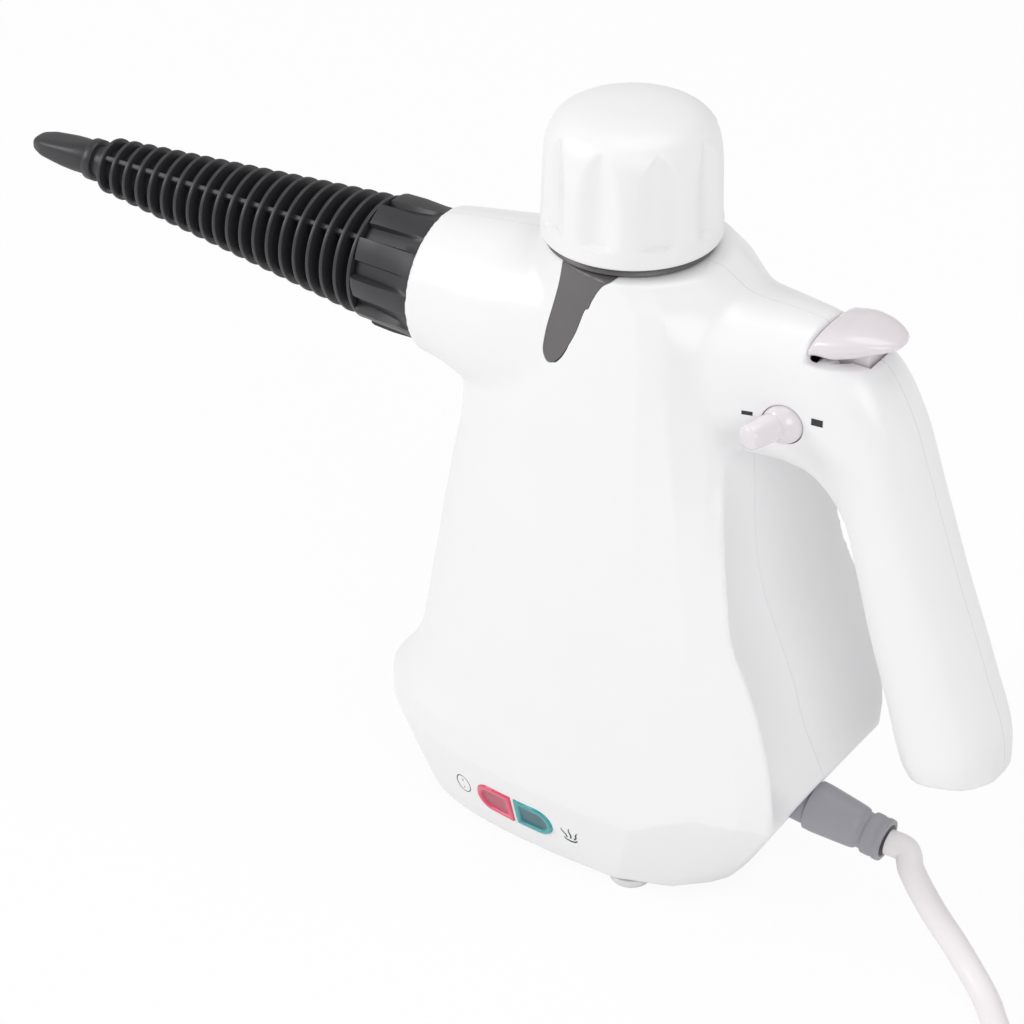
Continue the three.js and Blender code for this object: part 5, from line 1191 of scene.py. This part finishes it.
def make_bars():
    for i, ((px, py), wide, high) in enumerate(BARS, 1):
        spot, out = seen_spot(px, py)
        along = (Vector((1, 0, 0)) - out * out.x).normalized()
        place = frame_at(spot / MM - ZERO, along, out.cross(along), out)
        form = flat_stroke([(-wide / 2, 0), (wide / 2, 0)], [high, high], place, BAR_LIFT)
        make_piece(f"lock_bar_{i}", form, ink_black, "housing", angle=20)


make_marks()
make_bars()

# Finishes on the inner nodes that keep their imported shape
INNER = {
    aluminium_cast: ["boiler_pot", "boiler_lid"], steel_burnt: ["heating_element"],
    silicone_red: ["boiler_gasket", "cap_seal", "nozzle_seal"], phenolic_black: ["thermostat"],
    nylon_ivory: ["thermal_fuse", "terminal_block"], nylon_charcoal: ["cap_plug", "spout_socket"],
    steel_plated: ["cap_spring", "trigger_pin", "valve_spring"] + [f"screw_{i}" for i in range(1, 6)],
    brass_turned: ["valve_body", "valve_plunger", "inlet_pipe", "outlet_pipe"],
    lamp_glass: ["power_lamp", "ready_lamp"], glass_epoxy: ["lamp_board"],
    nickel_pins: ["plug_pin_1", "plug_pin_2"],
}
for material, nodes in INNER.items():
    for node in nodes:
        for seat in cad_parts[node].material_slots:
            seat.link = "OBJECT"
            seat.material = material


# Floor, light and world
FLOOR_HALF = 6
FLOOR_SEEN, FLOOR_MIRRORED = 0.93, 0.6  # how much of it glows white to the camera and in shine
WORLD_LIGHT = 0.53
LAMP_AIM = Vector((0, 0, 0.1))
# Name, place, size and power
LAMPS = [("key", (-1.2, -0.9, 1.0), 0.8, 10.6), ("fill", (1.3, -0.9, 0.9), 1.0, 7.2),
         ("top", (0.1, 0.3, 1.6), 1.0, 4.5)]


def make_floor():
    form = bpy.data.meshes.new("floor")
    form.from_pydata([(x * FLOOR_HALF, y * FLOOR_HALF, 0) for x, y in
                      ((-1, -1), (1, -1), (1, 1), (-1, 1))], [], [(0, 1, 2, 3)])
    floor = add_object("floor", form)
    material = bpy.data.materials.new("paper_backdrop_white")
    material.use_nodes = True
    tree = material.node_tree
    shader = tree.nodes["Principled BSDF"]
    shader.inputs["Base Color"].default_value = linear("#F7F7F7")
    shader.inputs["Roughness"].default_value = 0.9
    shader.inputs["Specular IOR Level"].default_value = 0.1
    rays = add_node(tree, "ShaderNodeLightPath").outputs
    glow = add_node(tree, "ShaderNodeEmission", Strength=1.0)
    seen = add_node(tree, "ShaderNodeMath", [(0, rays["Is Camera Ray"])], operation="MULTIPLY")
    seen.inputs[1].default_value = FLOOR_SEEN
    shine = add_node(tree, "ShaderNodeMath", [(0, rays["Is Glossy Ray"]),
                                              (1, rays["Is Transmission Ray"])], operation="MAXIMUM")
    mirrored = add_node(tree, "ShaderNodeMath", [(0, shine.outputs[0])], operation="MULTIPLY")
    mirrored.inputs[1].default_value = FLOOR_MIRRORED
    share = add_node(tree, "ShaderNodeMath", [(0, seen.outputs[0]), (1, mirrored.outputs[0])],
                     operation="MAXIMUM")
    blend = add_node(tree, "ShaderNodeMixShader", [(0, share.outputs[0]), (1, shader.outputs[0]),
                                                   (2, glow.outputs[0])])
    tree.links.new(blend.outputs[0], tree.nodes["Material Output"].inputs["Surface"])
    form.materials.append(material)


def make_world():
    world = bpy.data.worlds.new("studio")
    world.use_nodes = True
    tree = world.node_tree
    tree.nodes.clear()
    white = (1, 1, 1, 1)
    seen = add_node(tree, "ShaderNodeBackground", Color=white, Strength=1.0)
    lit = add_node(tree, "ShaderNodeBackground", Color=white, Strength=WORLD_LIGHT)
    rays = add_node(tree, "ShaderNodeLightPath").outputs
    blend = add_node(tree, "ShaderNodeMixShader", [(0, rays["Is Camera Ray"]), (1, lit.outputs[0]),
                                                   (2, seen.outputs[0])])
    add_node(tree, "ShaderNodeOutputWorld", [("Surface", blend.outputs[0])])
    bpy.context.scene.world = world


def make_lamps():
    for name, place, size, power in LAMPS:
        light = bpy.data.lights.new(name, "AREA")
        light.shape = "DISK"
        light.size, light.energy = size, power
        made = add_object(name, light)
        made.location = place
        made.rotation_euler = (LAMP_AIM - Vector(place)).to_track_quat("-Z", "Y").to_euler()


make_floor()
make_world()
make_lamps()
bpy.context.scene.view_settings.view_transform = "Standard"
